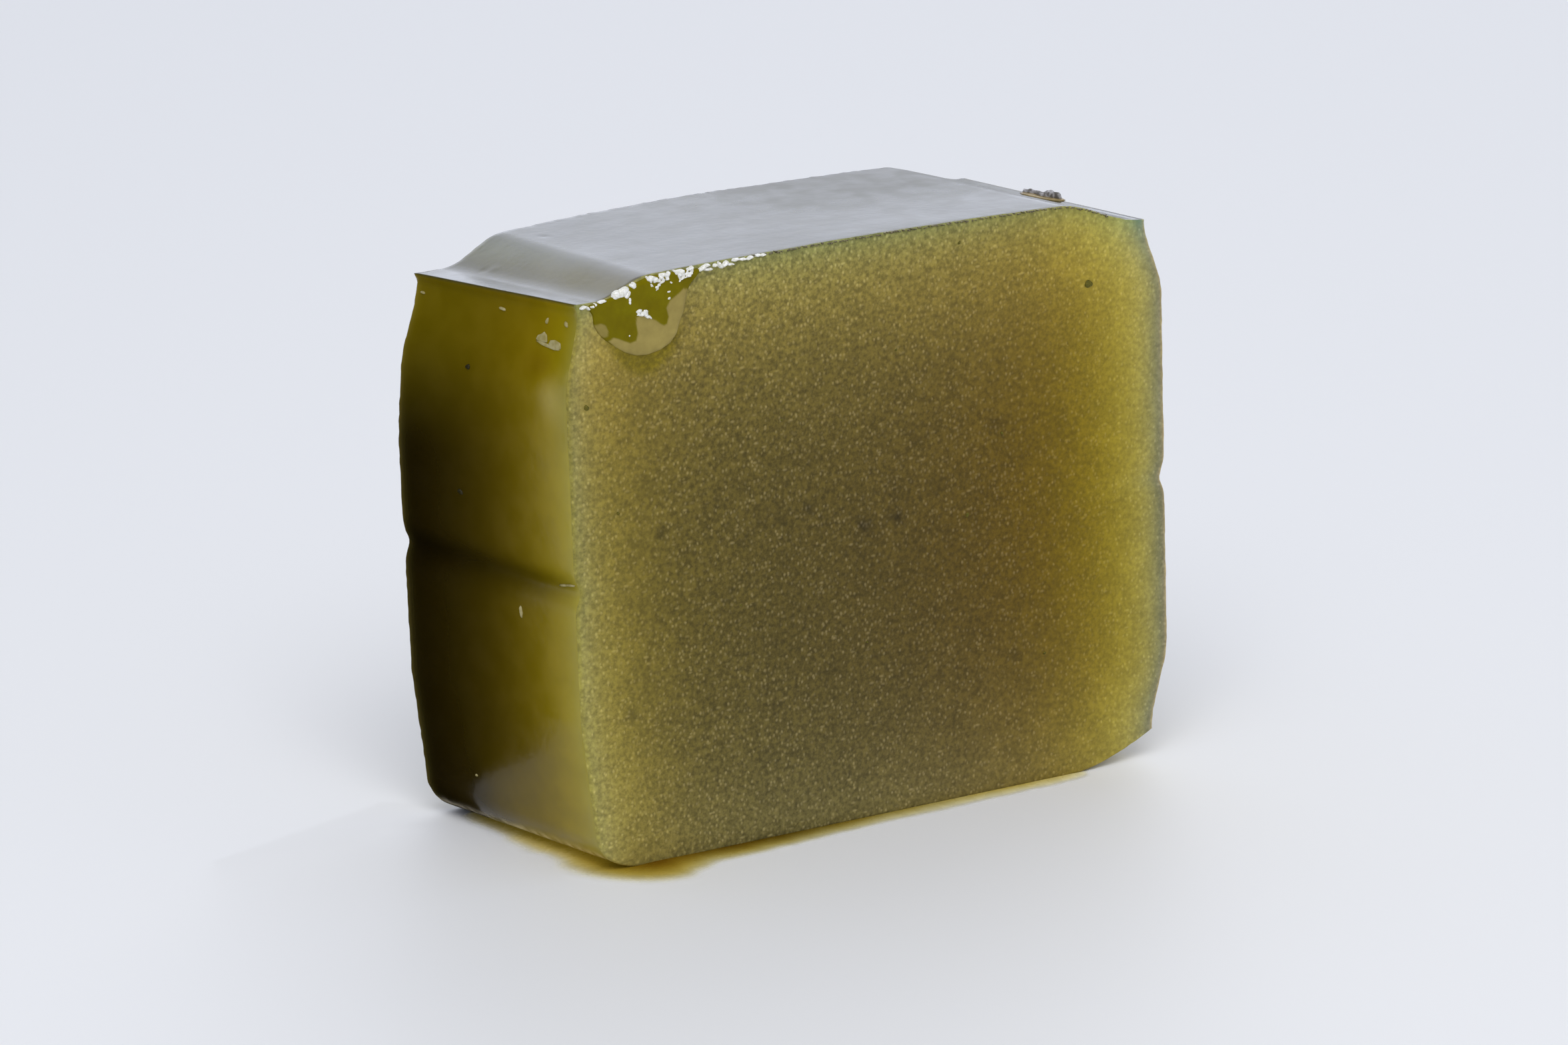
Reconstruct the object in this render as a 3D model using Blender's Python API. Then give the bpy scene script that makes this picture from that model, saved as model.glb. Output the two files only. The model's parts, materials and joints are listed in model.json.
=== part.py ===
"""A thick slice of yokan, the firm sweet jelly of bean paste, agar and sugar, as the knife left it.

Metres, +Z up. The slice stands on its flat underside. The grainy knife-cut face looks along -Y, the glossy moulded
sides look along -X and +X, and the middle of the underside of its outline box is the origin.

The bar set in a pinched mould. Its sides swell out like a pillow above and below a crease at half height, its
corners are drawn in to thin lips, and its top is a faintly crowned field between shoulders that fall to the lips.
The left lip is squeezed most at the back. The knife ran a little off square, so the moulded sides run back at a slant.
"""

import math

import bmesh
import bpy
import numpy as np

MM = 0.001

# The slice as a whole. Across is measured from the left end of the flat underside, in the plane of the front cut.
THICKNESS = 17.6 * MM
CUT_SKEW = math.radians(11.0)
SIDE_LEAN = 0.0394
FLAT_LENGTH = 36.4 * MM

# The left side: its lip at the top, its swell, and the tuck and round corner at its foot.
LEFT_LIP_ACROSS = -5.1 * MM
LEFT_LIP_HEIGHT = 40.4 * MM
LEFT_SWELL = 0.93 * MM
LEFT_SWELL_RUN = 7.0 * MM
LEFT_PINCH = 0.25 * MM
LEFT_PINCH_RUN = 0.8 * MM
LEFT_TUCK_HEIGHT = 11.0 * MM
LEFT_TUCK_SLOPE = 0.1
LEFT_FOOT_RADIUS = 3.0 * MM

# The left lip is squeezed further in and down on its way to the back.
LIP_IN = 1.0 * MM
LIP_IN_FADE = 14.0 * MM
LIP_DOWN = 1.1 * MM

# The right side, between its lower and its upper lip.
RIGHT_LIP_ACROSS = 43.2 * MM
RIGHT_LIP_HEIGHT = 2.2 * MM
RIGHT_LIP_POWER = 1.6
RIGHT_TOP_HEIGHT = 40.2 * MM
RIGHT_SWELL = 1.45 * MM
RIGHT_LOW_RUN = 6.8 * MM
RIGHT_TOP_RUN = 5.5 * MM

# The crease that the two halves of the mould leave along both sides.
LEFT_CREASE_HEIGHT = 20.3 * MM
RIGHT_CREASE_HEIGHT = 21.1 * MM
CREASE_DEPTH = 0.42 * MM
CREASE_WIDTH = 0.85 * MM

# The top: a faintly crowned field between two shoulders that fall to the lips.
FIELD_HEIGHT = 42.15 * MM
FIELD_MIDDLE = 24.0 * MM
FIELD_CROWN_RADIUS = 660.0 * MM
BACK_DROP = 0.18 * MM
BACK_SAG = 0.45 * MM
BACK_SAG_RUN = 22.0 * MM
LEFT_SHOULDER_START = 1.5 * MM
LEFT_SHOULDER_RUN = 4.4 * MM
LEFT_SHOULDER_SPREAD = 0.6 * MM
RIGHT_SHOULDER_RUN = 7.4 * MM

# How finely the faceted solid is divided.
DEPTH_STEPS = 8
FLAT_STEPS = 6
LIP_STEPS = 8
FOOT_STEPS = 9
COARSE_STEP = 2.0 * MM
SIDE_STEP = 0.85 * MM
SHOULDER_STEP = 0.6 * MM
FINE_STEP = 0.35 * MM
CREASE_BAND = 1.6 * MM
SHARP_ANGLE = math.radians(35.0)

JELLY_COLOUR = (0.135, 0.105, 0.034, 1.0)
JELLY_ROUGHNESS = 0.32
JELLY_SUBSURFACE = 0.25
JELLY_SUBSURFACE_RADIUS = (0.006, 0.0045, 0.0012)


def eased(share):
    """A ramp from 0 to 1 that starts and ends level."""
    share = np.clip(share, 0.0, 1.0)
    return share * share * (3.0 - 2.0 * share)


def crease(height, middle):
    """How far the crease draws a side in at each height: a bell curve about its middle."""
    return CREASE_DEPTH * np.exp(-(((height - middle) / CREASE_WIDTH) ** 2))


def left_side(height, depth_share):
    """Across, for the left side: a leaning line, swollen between the lip and the foot, tucked in below."""
    below_lip = LEFT_LIP_HEIGHT - height
    line = LEFT_LIP_ACROSS + SIDE_LEAN * below_lip
    swell = LEFT_SWELL * eased(below_lip / LEFT_SWELL_RUN)
    pinch = LEFT_PINCH * (eased(below_lip / LEFT_PINCH_RUN) - eased(below_lip / LEFT_SWELL_RUN))
    tuck = LEFT_TUCK_SLOPE * np.maximum(LEFT_TUCK_HEIGHT - height, 0.0)
    squeeze = LIP_IN * depth_share * (1.0 - eased(below_lip / LIP_IN_FADE))
    return line - swell + pinch + tuck + squeeze + crease(height, LEFT_CREASE_HEIGHT)


def right_side(height):
    """Across, for the right side: a leaning line, swollen between its two lips."""
    line = RIGHT_LIP_ACROSS - SIDE_LEAN * (height - RIGHT_LIP_HEIGHT)
    from_low = eased((height - RIGHT_LIP_HEIGHT) / RIGHT_LOW_RUN)
    from_top = eased((RIGHT_TOP_HEIGHT - height) / RIGHT_TOP_RUN)
    return line + RIGHT_SWELL * from_low * from_top - crease(height, RIGHT_CREASE_HEIGHT)


def top_height(from_left, from_right, left_lip, depth_share):
    """Height of the top, by the distances from its two lips: the field, let down to each lip by a shoulder."""
    across = LEFT_LIP_ACROSS + LIP_IN * depth_share + from_left
    sag = BACK_DROP + BACK_SAG * (1.0 - eased(from_left / BACK_SAG_RUN))
    crown = (across - FIELD_MIDDLE) ** 2 / (2.0 * FIELD_CROWN_RADIUS)
    field = FIELD_HEIGHT - crown - sag * depth_share
    spread = LEFT_SHOULDER_SPREAD * depth_share
    left = eased((from_left - LEFT_SHOULDER_START - spread) / (LEFT_SHOULDER_RUN + spread))
    right = eased(from_right / RIGHT_SHOULDER_RUN)
    return field - (field - left_lip) * (1.0 - left) - (field - RIGHT_TOP_HEIGHT) * (1.0 - right)


def stepped(start, *stretches):
    """Values that run on from start through stretches, each given as its end and the step that divides it."""
    values = [np.array([start])]
    for end, step in stretches:
        count = max(1, math.ceil(abs(end - start) / step))
        values.append(np.linspace(start, end, count + 1)[1:])
        start = end
    return np.concatenate(values)


def side_heights(low, crease_height, high):
    """Heights up a side, close together about the crease."""
    band_low = crease_height - CREASE_BAND
    band_high = crease_height + CREASE_BAND
    return stepped(low, (band_low, SIDE_STEP), (band_high, FINE_STEP), (high, SIDE_STEP))


def outline(depth_share):
    """The slice's section at one depth, as points that run round it: underside, right side, top, left side, foot."""
    flat_across = np.linspace(0.0, FLAT_LENGTH, FLAT_STEPS, endpoint=False)
    lip_share = np.linspace(0.0, 1.0, LIP_STEPS, endpoint=False)
    lip_across = FLAT_LENGTH + (RIGHT_LIP_ACROSS - FLAT_LENGTH) * lip_share
    lip_height = RIGHT_LIP_HEIGHT * lip_share**RIGHT_LIP_POWER

    right_height = side_heights(RIGHT_LIP_HEIGHT, RIGHT_CREASE_HEIGHT, RIGHT_TOP_HEIGHT)
    right_across = right_side(right_height)

    # The top, from the right lip to the left one, which moves in and down with depth.
    left_lip_height = LEFT_LIP_HEIGHT - LIP_DOWN * depth_share
    front_width = right_across[-1] - LEFT_LIP_ACROSS
    width = front_width - LIP_IN * depth_share
    left_shoulder = front_width - LEFT_SHOULDER_START - LEFT_SHOULDER_RUN - 2.0 * LEFT_SHOULDER_SPREAD
    stretches = ((RIGHT_SHOULDER_RUN, SIDE_STEP), (left_shoulder, COARSE_STEP), (front_width, SHOULDER_STEP))
    from_right = stepped(0.0, *stretches)[1:] * width / front_width
    top = top_height(width - from_right, from_right, left_lip_height, depth_share)

    # The left side, top to bottom, stretched above its crease so that it ends at the lip.
    left_height = side_heights(LEFT_FOOT_RADIUS, LEFT_CREASE_HEIGHT, LEFT_LIP_HEIGHT)[-2::-1]
    left_across = left_side(left_height, depth_share)
    above = np.maximum(left_height - LEFT_CREASE_HEIGHT, 0.0)
    left_height = left_height - above * LIP_DOWN * depth_share / (LEFT_LIP_HEIGHT - LEFT_CREASE_HEIGHT)

    # The foot, a quarter turn from the end of the left side down to the flat underside.
    turn = np.linspace(0.0, math.pi / 2, FOOT_STEPS, endpoint=False)[1:]
    foot_across = left_across[-1] * np.cos(turn)
    foot_height = LEFT_FOOT_RADIUS * (1.0 - np.sin(turn))

    top_across = right_across[-1] - from_right
    across = np.concatenate([flat_across, lip_across, right_across, top_across, left_across, foot_across])
    height = np.concatenate([0.0 * flat_across, lip_height, right_height, top, left_height, foot_height])
    return across, height


def slice_points():
    """All sections, front to back, as an array of depth, place round the outline, and X, Y, Z."""
    shares = np.linspace(0.0, 1.0, DEPTH_STEPS + 1)
    rings = []
    for share in shares:
        across, height = outline(share)
        depth = THICKNESS * share
        rings.append(np.column_stack([across - depth * math.tan(CUT_SKEW), np.full_like(across, depth), height]))
    points = np.array(rings)
    low = points.reshape(-1, 3).min(axis=0)
    high = points.reshape(-1, 3).max(axis=0)
    middle = (low + high) / 2.0
    return points - np.array([middle[0], middle[1], low[2]])


def slice_mesh():
    """The closed solid: the sections joined by bands, with a knife-cut face at each end."""
    points = slice_points()
    work = bmesh.new()
    rings = [[work.verts.new(point) for point in ring] for ring in points]
    count = len(rings[0])
    for front, back in zip(rings, rings[1:]):
        for i in range(count):
            j = (i + 1) % count
            work.faces.new((front[i], front[j], back[j], back[i]))
    work.faces.new(rings[0][::-1])
    work.faces.new(rings[-1])
    bmesh.ops.recalc_face_normals(work, faces=work.faces)
    mesh = bpy.data.meshes.new("yokan_slice")
    work.to_mesh(mesh)
    work.free()
    mesh.shade_smooth()
    mesh.set_sharp_from_angle(angle=SHARP_ANGLE)
    return mesh


def jelly_material():
    """Dark olive bean jelly: moist, softly glossy and a little translucent."""
    material = bpy.data.materials.new("yokan_jelly")
    material.use_nodes = True
    shader = material.node_tree.nodes["Principled BSDF"]
    shader.inputs["Base Color"].default_value = JELLY_COLOUR
    shader.inputs["Roughness"].default_value = JELLY_ROUGHNESS
    shader.inputs["Metallic"].default_value = 0.0
    shader.inputs["Subsurface Weight"].default_value = JELLY_SUBSURFACE
    shader.inputs["Subsurface Radius"].default_value = JELLY_SUBSURFACE_RADIUS
    return material


def main():
    """Clears the scene and makes the slice."""
    for old in list(bpy.data.objects):
        bpy.data.objects.remove(old)
    mesh = slice_mesh()
    mesh.materials.append(jelly_material())
    bpy.context.scene.collection.objects.link(bpy.data.objects.new("yokan_slice", mesh))


main()
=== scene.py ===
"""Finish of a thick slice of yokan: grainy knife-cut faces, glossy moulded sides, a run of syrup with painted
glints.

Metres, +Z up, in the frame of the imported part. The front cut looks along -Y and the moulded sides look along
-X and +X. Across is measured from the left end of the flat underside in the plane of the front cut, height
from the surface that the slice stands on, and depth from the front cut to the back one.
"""

from __future__ import annotations

import json
import logging
import math
from dataclasses import dataclass, field
from enum import Enum

import bpy
import numpy as np
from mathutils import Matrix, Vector

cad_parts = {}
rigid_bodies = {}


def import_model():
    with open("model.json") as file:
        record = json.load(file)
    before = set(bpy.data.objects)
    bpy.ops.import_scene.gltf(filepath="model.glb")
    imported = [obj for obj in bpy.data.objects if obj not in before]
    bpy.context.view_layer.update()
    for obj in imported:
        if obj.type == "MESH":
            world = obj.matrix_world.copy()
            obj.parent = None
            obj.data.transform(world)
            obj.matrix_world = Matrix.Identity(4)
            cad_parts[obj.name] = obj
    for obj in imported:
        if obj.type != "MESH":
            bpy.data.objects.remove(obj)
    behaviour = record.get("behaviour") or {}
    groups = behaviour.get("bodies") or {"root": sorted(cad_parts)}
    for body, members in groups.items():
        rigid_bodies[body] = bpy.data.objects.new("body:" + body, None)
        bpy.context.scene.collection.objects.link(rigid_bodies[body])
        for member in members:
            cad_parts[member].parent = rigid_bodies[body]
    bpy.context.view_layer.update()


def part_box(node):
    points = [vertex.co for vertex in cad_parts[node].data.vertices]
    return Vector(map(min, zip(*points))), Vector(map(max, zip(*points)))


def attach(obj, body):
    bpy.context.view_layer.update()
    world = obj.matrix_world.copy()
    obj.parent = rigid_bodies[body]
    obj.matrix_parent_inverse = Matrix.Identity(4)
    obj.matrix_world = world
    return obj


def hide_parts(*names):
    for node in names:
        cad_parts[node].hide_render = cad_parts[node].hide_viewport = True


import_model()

MM = 0.001
NODE = "yokan_slice"
BODY = "root"
LOG = logging.getLogger("yokan")

Array = np.ndarray
Colour = tuple[float, float, float]
Outline = tuple[tuple[float, float], ...]
Values = dict[str, np.ndarray]


def eased(share: Array | float) -> Array:
    """A ramp from 0 to 1 that starts and ends level: 3 s^2 - 2 s^3, with s held between 0 and 1."""
    held = np.clip(share, 0.0, 1.0)
    return held * held * (3.0 - 2.0 * held)


def bell(distance: Array, width: float) -> Array:
    """A bell curve: e to the minus square of distance over width."""
    return np.exp(-((distance / width) ** 2))


def mixed(low: Array | float, high: Array | float, share: Array) -> Array:
    """A straight blend of two values by share."""
    return low + (high - low) * share


# --- shapes


class SoftNoise:
    """Smooth random relief over two coordinates, the same at every run."""

    def __init__(self, seed: int, cells: int = 199) -> None:
        """Draws the lattice.

        Args:
            seed: Start of the random draw.
            cells: Lattice values along each side, after which the noise repeats.
        """
        self.cells = cells
        self.lattice = np.random.default_rng(seed).uniform(-1.0, 1.0, (cells, cells))

    def at(self, first: Array, second: Array, size: float) -> Array:
        """Reads the noise: lattice values a size apart, joined by eased blends along both coordinates.

        Args:
            first: First coordinate, in metres.
            second: Second coordinate, in metres.
            size: Spacing of the lattice, in metres.

        Returns:
            Values from -1 to 1.
        """
        first, second = np.broadcast_arrays(first / size, second / size)
        i, j = np.floor(first).astype(int), np.floor(second).astype(int)
        along, over = eased(first - i), eased(second - j)
        n = self.cells
        low = mixed(self.lattice[i % n, j % n], self.lattice[(i + 1) % n, j % n], along)
        high = mixed(self.lattice[i % n, (j + 1) % n], self.lattice[(i + 1) % n, (j + 1) % n], along)
        return mixed(low, high, over)


def quads_of(numbers: Array) -> Array:
    """Quads of a grid of point numbers, turning from the first axis to the second."""
    corners = (numbers[:-1, :-1], numbers[1:, :-1], numbers[1:, 1:], numbers[:-1, 1:])
    return np.stack(corners, axis=-1).reshape(-1, 4)


@dataclass
class Piece:
    """A finished mesh and what it says about itself.

    Attributes:
        name: Name of the piece.
        points: Places of its points, one row each, in metres.
        quads: Numbers of each face's four corners.
        looks: Materials, in slot order.
        slots: Material slot of each face, or None where there is one material.
        masks: Values at the points, by name, which the materials read.
        tones: Colours at the points, by name, one row each, which the materials read.
    """

    name: str
    points: Array
    quads: Array
    looks: list[bpy.types.Material]
    slots: Array | None = None
    masks: Values = field(default_factory=dict)
    tones: Values = field(default_factory=dict)

    def make(self) -> bpy.types.Object:
        """Makes the object, smooth all over, and lets it ride on the slice's body.

        Returns:
            The object, which sits at the origin.
        """
        mesh = bpy.data.meshes.new(self.name)
        mesh.from_pydata(self.points, [], self.quads)
        mesh.shade_smooth()
        for look in self.looks:
            mesh.materials.append(look)
        if self.slots is not None:
            mesh.polygons.foreach_set("material_index", self.slots.astype(np.int32))
        for name, values in self.masks.items():
            layer = mesh.attributes.new(name, "FLOAT", "POINT")
            layer.data.foreach_set("value", np.ascontiguousarray(values, dtype=np.float32))
        for name, colours in self.tones.items():
            layer = mesh.attributes.new(name, "FLOAT_COLOR", "POINT")
            rows = np.column_stack([np.maximum(colours, 0.0), np.ones(len(colours))])
            layer.data.foreach_set("color", np.ascontiguousarray(rows, dtype=np.float32).ravel())
        mesh.update()
        made = bpy.data.objects.new(self.name, mesh)
        bpy.context.scene.collection.objects.link(made)
        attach(made, BODY)
        LOG.info("%s: %d points, %d faces", self.name, len(self.points), len(self.quads))
        return made


@dataclass(frozen=True)
class MouldedSection:
    """The outline that the pinched mould gives the bar, at any depth of the slice.

    Lengths are in metres. Each side is a curve of a share from 0 to 1, and the four run round the section:
    underside, right side, top, left side. They meet at the round foot, the two right lips and the left lip.
    """

    thickness: float = 17.6 * MM
    cut_skew: float = math.radians(11.0)
    side_lean: float = 0.0394
    flat_length: float = 36.4 * MM

    left_lip_across: float = -5.1 * MM
    left_lip_height: float = 40.4 * MM
    left_swell: float = 0.93 * MM
    left_swell_run: float = 7.0 * MM
    left_pinch: float = 0.25 * MM
    left_pinch_run: float = 0.8 * MM
    left_tuck_height: float = 11.0 * MM
    left_tuck_slope: float = 0.1
    left_foot_radius: float = 3.0 * MM
    lip_in: float = 1.0 * MM
    lip_in_fade: float = 14.0 * MM
    lip_down: float = 1.1 * MM

    right_lip_across: float = 43.2 * MM
    right_lip_height: float = 2.2 * MM
    right_lip_power: float = 1.6
    right_top_height: float = 40.2 * MM
    right_swell: float = 1.45 * MM
    right_low_run: float = 6.8 * MM
    right_top_run: float = 5.5 * MM

    left_crease_height: float = 20.3 * MM
    right_crease_height: float = 21.1 * MM
    crease_depth: float = 0.42 * MM
    crease_width: float = 0.85 * MM

    field_height: float = 42.15 * MM
    field_middle: float = 24.0 * MM
    field_crown_radius: float = 660.0 * MM
    back_drop: float = 0.18 * MM
    back_sag: float = 0.45 * MM
    back_sag_run: float = 22.0 * MM
    left_shoulder_start: float = 1.5 * MM
    left_shoulder_run: float = 4.4 * MM
    left_shoulder_spread: float = 0.6 * MM
    right_shoulder_run: float = 7.4 * MM

    def left_side(self, height: Array, share: Array) -> Array:
        """Across of the left side: a leaning line, swollen below the lip, tucked in at the foot, and creased.

        Args:
            height: Height before the lip is drawn down.
            share: Depth as a share of the thickness.

        Returns:
            Across, in metres.
        """
        below = self.left_lip_height - height
        line = self.left_lip_across + self.side_lean * below
        swell = eased(below / self.left_swell_run)
        pinch = self.left_pinch * (eased(below / self.left_pinch_run) - swell)
        tuck = self.left_tuck_slope * np.maximum(self.left_tuck_height - height, 0.0)
        squeeze = self.lip_in * share * (1.0 - eased(below / self.lip_in_fade))
        crease = self.crease_depth * bell(height - self.left_crease_height, self.crease_width)
        return line - self.left_swell * swell + pinch + tuck + squeeze + crease

    def right_side(self, height: Array) -> Array:
        """Across of the right side: a leaning line, swollen between its two lips, and creased.

        Args:
            height: Height.

        Returns:
            Across, in metres.
        """
        line = self.right_lip_across - self.side_lean * (height - self.right_lip_height)
        from_low = eased((height - self.right_lip_height) / self.right_low_run)
        from_top = eased((self.right_top_height - height) / self.right_top_run)
        crease = self.crease_depth * bell(height - self.right_crease_height, self.crease_width)
        return line + self.right_swell * from_low * from_top - crease

    def left_lip(self, share: Array) -> Array:
        """Height of the left lip, which is drawn down towards the back."""
        return self.left_lip_height - self.lip_down * share

    def width(self, share: Array) -> Array:
        """Distance between the two upper lips."""
        front = self.right_side(np.float64(self.right_top_height)) - self.left_lip_across
        return front - self.lip_in * share

    def top_height(self, from_right: Array, share: Array) -> Array:
        """Height of the top: a faintly crowned field, let down to each lip by an eased shoulder.

        Args:
            from_right: Distance from the right lip.
            share: Depth as a share of the thickness.

        Returns:
            Height, in metres.
        """
        from_left = self.width(share) - from_right
        across = self.left_lip_across + self.lip_in * share + from_left
        sag = self.back_drop + self.back_sag * (1.0 - eased(from_left / self.back_sag_run))
        crown = (across - self.field_middle) ** 2 / (2.0 * self.field_crown_radius)
        top = self.field_height - crown - sag * share
        spread = self.left_shoulder_spread * share
        left = eased((from_left - self.left_shoulder_start - spread) / (self.left_shoulder_run + spread))
        right = eased(from_right / self.right_shoulder_run)
        let_down = (top - self.left_lip(share)) * (1.0 - left) + (top - self.right_top_height) * (1.0 - right)
        return top - let_down

    def foot(self, turn: Array) -> tuple[Array, Array]:
        """The round foot of the left side: a quarter ellipse, by the turn from its upper end."""
        reach = self.left_side(np.float64(self.left_foot_radius), np.float64(0.0))
        return reach * np.cos(turn), self.left_foot_radius * (1.0 - np.sin(turn))

    def underside(self, place: Array, share: Array) -> tuple[Array, Array]:
        """The underside: half the foot's turn below 0, the flat up to 1, then to 2 the rise to the right lip.

        Args:
            place: Place along it, from -1 to 2.
            share: Depth as a share of the thickness.

        Returns:
            Across and height.
        """
        turn = math.pi / 4.0 * (2.0 + np.clip(place, -1.0, 0.0))
        foot_across, foot_height = self.foot(turn)
        flat = np.clip(place, 0.0, 1.0) * self.flat_length
        rise = np.clip(place - 1.0, 0.0, 1.0)
        lip = rise * (self.right_lip_across - self.flat_length)
        across = np.where(place < 0.0, foot_across, flat + lip)
        height = np.where(place < 0.0, foot_height, self.right_lip_height * rise**self.right_lip_power)
        return across + 0.0 * share, height + 0.0 * share

    def right(self, place: Array, share: Array) -> tuple[Array, Array]:
        """The right side, from its lower lip at 0 to its upper lip at 1."""
        height = mixed(self.right_lip_height, self.right_top_height, place)
        return self.right_side(height) + 0.0 * share, height + 0.0 * share

    def top(self, place: Array, share: Array) -> tuple[Array, Array]:
        """The top, from the right lip at 0 to the left lip at 1.

        Args:
            place: Place along it.
            share: Depth as a share of the thickness.

        Returns:
            Across and height.
        """
        from_right = self.width(share) * place
        right_lip = self.right_side(np.float64(self.right_top_height))
        return right_lip - from_right, self.top_height(from_right, share)

    def left(self, place: Array, share: Array) -> tuple[Array, Array]:
        """The left side, from the lip at 0 to the foot's upper end at 1, then half the foot's turn to 2.

        Args:
            place: Place along it.
            share: Depth as a share of the thickness.

        Returns:
            Across and height.
        """
        nominal = mixed(self.left_lip_height, self.left_foot_radius, np.clip(place, 0.0, 1.0))
        above = np.maximum(nominal - self.left_crease_height, 0.0)
        drawn = above * self.lip_down * share / (self.left_lip_height - self.left_crease_height)
        foot_across, foot_height = self.foot(math.pi / 4.0 * np.clip(place - 1.0, 0.0, 1.0))
        across = np.where(place > 1.0, foot_across, self.left_side(nominal, share))
        return across, np.where(place > 1.0, foot_height, nominal - drawn)


@dataclass(frozen=True)
class Nearness:
    """How far points of the slice are from each of its faces, in metres.

    Attributes:
        left: Distance from the left side.
        right: Distance from the right side.
        top: Distance below the top.
        foot: Height over the underside.
        front: Distance behind the front cut.
        back: Distance before the back cut.
        upward: 1 where the surface is the top, 0 on the sides.
        rightness: 0 on the left half, 1 on the right half.
    """

    left: Array
    right: Array
    top: Array
    foot: Array
    front: Array
    back: Array
    upward: Array
    rightness: Array


@dataclass(frozen=True)
class Glow:
    """Painted light that comes through where the jelly is thin, as a colour added with a share that falls off.

    Attributes:
        colour: Colour added at full share, which may be below 0 to take some away.
        left: Fade length from the left side, and so on for the other faces; infinite where it has no say.
        right: Fade length from the right side.
        top: Fade length below the top.
        foot: Fade length over the underside.
        rise: Height that brings the share up to full, or 0 where height has no such say.
    """

    colour: Colour
    left: float = math.inf
    right: float = math.inf
    top: float = math.inf
    foot: float = math.inf
    rise: float = 0.0

    def added(self, near: Nearness) -> Array:
        """The colour times e to the minus sum of the distances over their fades, and times height over rise.

        Args:
            near: Distances of the points.

        Returns:
            Colours to add, one row for each point.
        """
        away = near.left / self.left + near.right / self.right + near.top / self.top + near.foot / self.foot
        share = np.exp(-away) * (near.foot / self.rise if self.rise else 1.0)
        return share[:, None] * np.array(self.colour)


@dataclass(frozen=True)
class Smudge:
    """A dark bit of bean just under the front cut, seen through the jelly over it.

    Attributes:
        left: Distance of its middle from the left side.
        foot: Height of its middle over the underside.
        size: Distance over which it fades.
        loss: Share of the tone that it takes at its middle.
        seen: Distance behind the front cut over which it fades.
    """

    left: float
    foot: float
    size: float
    loss: float
    seen: float = 2.0 * MM

    def kept(self, near: Nearness) -> Array:
        """The share of the tone that is left: 1 less the loss times a bell curve along each distance."""
        spread = bell(near.left - self.left, self.size) * bell(near.foot - self.foot, self.size)
        return 1.0 - self.loss * spread * bell(near.front, self.seen)


@dataclass(frozen=True)
class CutTone:
    """Tone of the cut faces: dark olive at heart, with painted glows and rims where the jelly thins to its
    sides.
    """

    heart: Colour = (0.0932, 0.0697, 0.0123)
    glows: tuple[Glow, ...] = (
        Glow((0.458, 0.358, 0.035), left=4.0 * MM),
        Glow((-0.258, -0.210, -0.030), left=4.0 * MM, rise=40.0 * MM),
        Glow((-0.102, -0.012, 0.089), left=1.2 * MM),
        Glow((0.684, 0.720, 0.100), right=4.5 * MM),
        Glow((-0.024, -0.145, -0.074), right=9.0 * MM),
        Glow((-0.617, -0.462, 0.164), right=1.5 * MM),
        Glow((-0.100, -0.105, -0.105), right=0.6 * MM),
        Glow((0.720, 0.480, 0.160), right=0.17 * MM),
        Glow((-0.030, -0.055, -0.075), left=0.3 * MM),
        Glow((0.341, 0.274, 0.062), top=6.0 * MM),
        Glow((-0.183, -0.070, 0.018), top=1.5 * MM),
        Glow((0.099, 0.097, 0.046), foot=6.0 * MM),
        Glow((-0.194, -0.174, -0.038), left=4.0 * MM, foot=5.0 * MM),
        Glow((-0.193, -0.140, -0.001), right=6.0 * MM, top=6.0 * MM),
        Glow((-0.035, -0.088, -0.026), left=6.0 * MM, top=6.0 * MM),
        Glow((-0.060, -0.060, -0.040), right=1.8 * MM, top=2.5 * MM),
        Glow((-0.055, -0.020, -0.025), left=1.2 * MM, top=6.0 * MM),
        Glow((-0.100, -0.090, -0.030), right=6.0 * MM, foot=3.0 * MM),
    )
    smudges: tuple[Smudge, ...] = (
        Smudge(26.1 * MM, 21.7 * MM, 0.50 * MM, 0.58),
        Smudge(23.3 * MM, 21.5 * MM, 0.55 * MM, 0.60),
        Smudge(18.8 * MM, 23.5 * MM, 0.50 * MM, 0.50),
        Smudge(6.9 * MM, 23.6 * MM, 0.45 * MM, 0.55),
        Smudge(35.7 * MM, 9.8 * MM, 0.42 * MM, 0.48),
        Smudge(3.9 * MM, 11.0 * MM, 0.42 * MM, 0.45),
        Smudge(34.5 * MM, 27.2 * MM, 0.50 * MM, 0.38),
    )

    def of(self, near: Nearness) -> Array:
        """Colours at the points: the heart's colour plus each glow, times what each smudge leaves."""
        tone = np.array(self.heart) + sum(glow.added(near) for glow in self.glows)
        return tone * np.prod([smudge.kept(near) for smudge in self.smudges], axis=0)[:, None]


@dataclass(frozen=True)
class Spot:
    """A soft spot of painted light or shade, for what the left side reflects.

    Attributes:
        front: Distance of its middle behind the front cut.
        foot: Height of its middle over the underside.
        wide: Distance over which it fades along the depth.
        tall: Distance over which it fades up and down.
        colour: Colour added at its middle.
    """

    front: float
    foot: float
    wide: float
    tall: float
    colour: Colour

    def added(self, near: Nearness) -> Array:
        """The colour times a bell curve along the depth and one along the height."""
        share = bell(near.front - self.front, self.wide) * bell(near.foot - self.foot, self.tall)
        return share[:, None] * np.array(self.colour)


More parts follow.
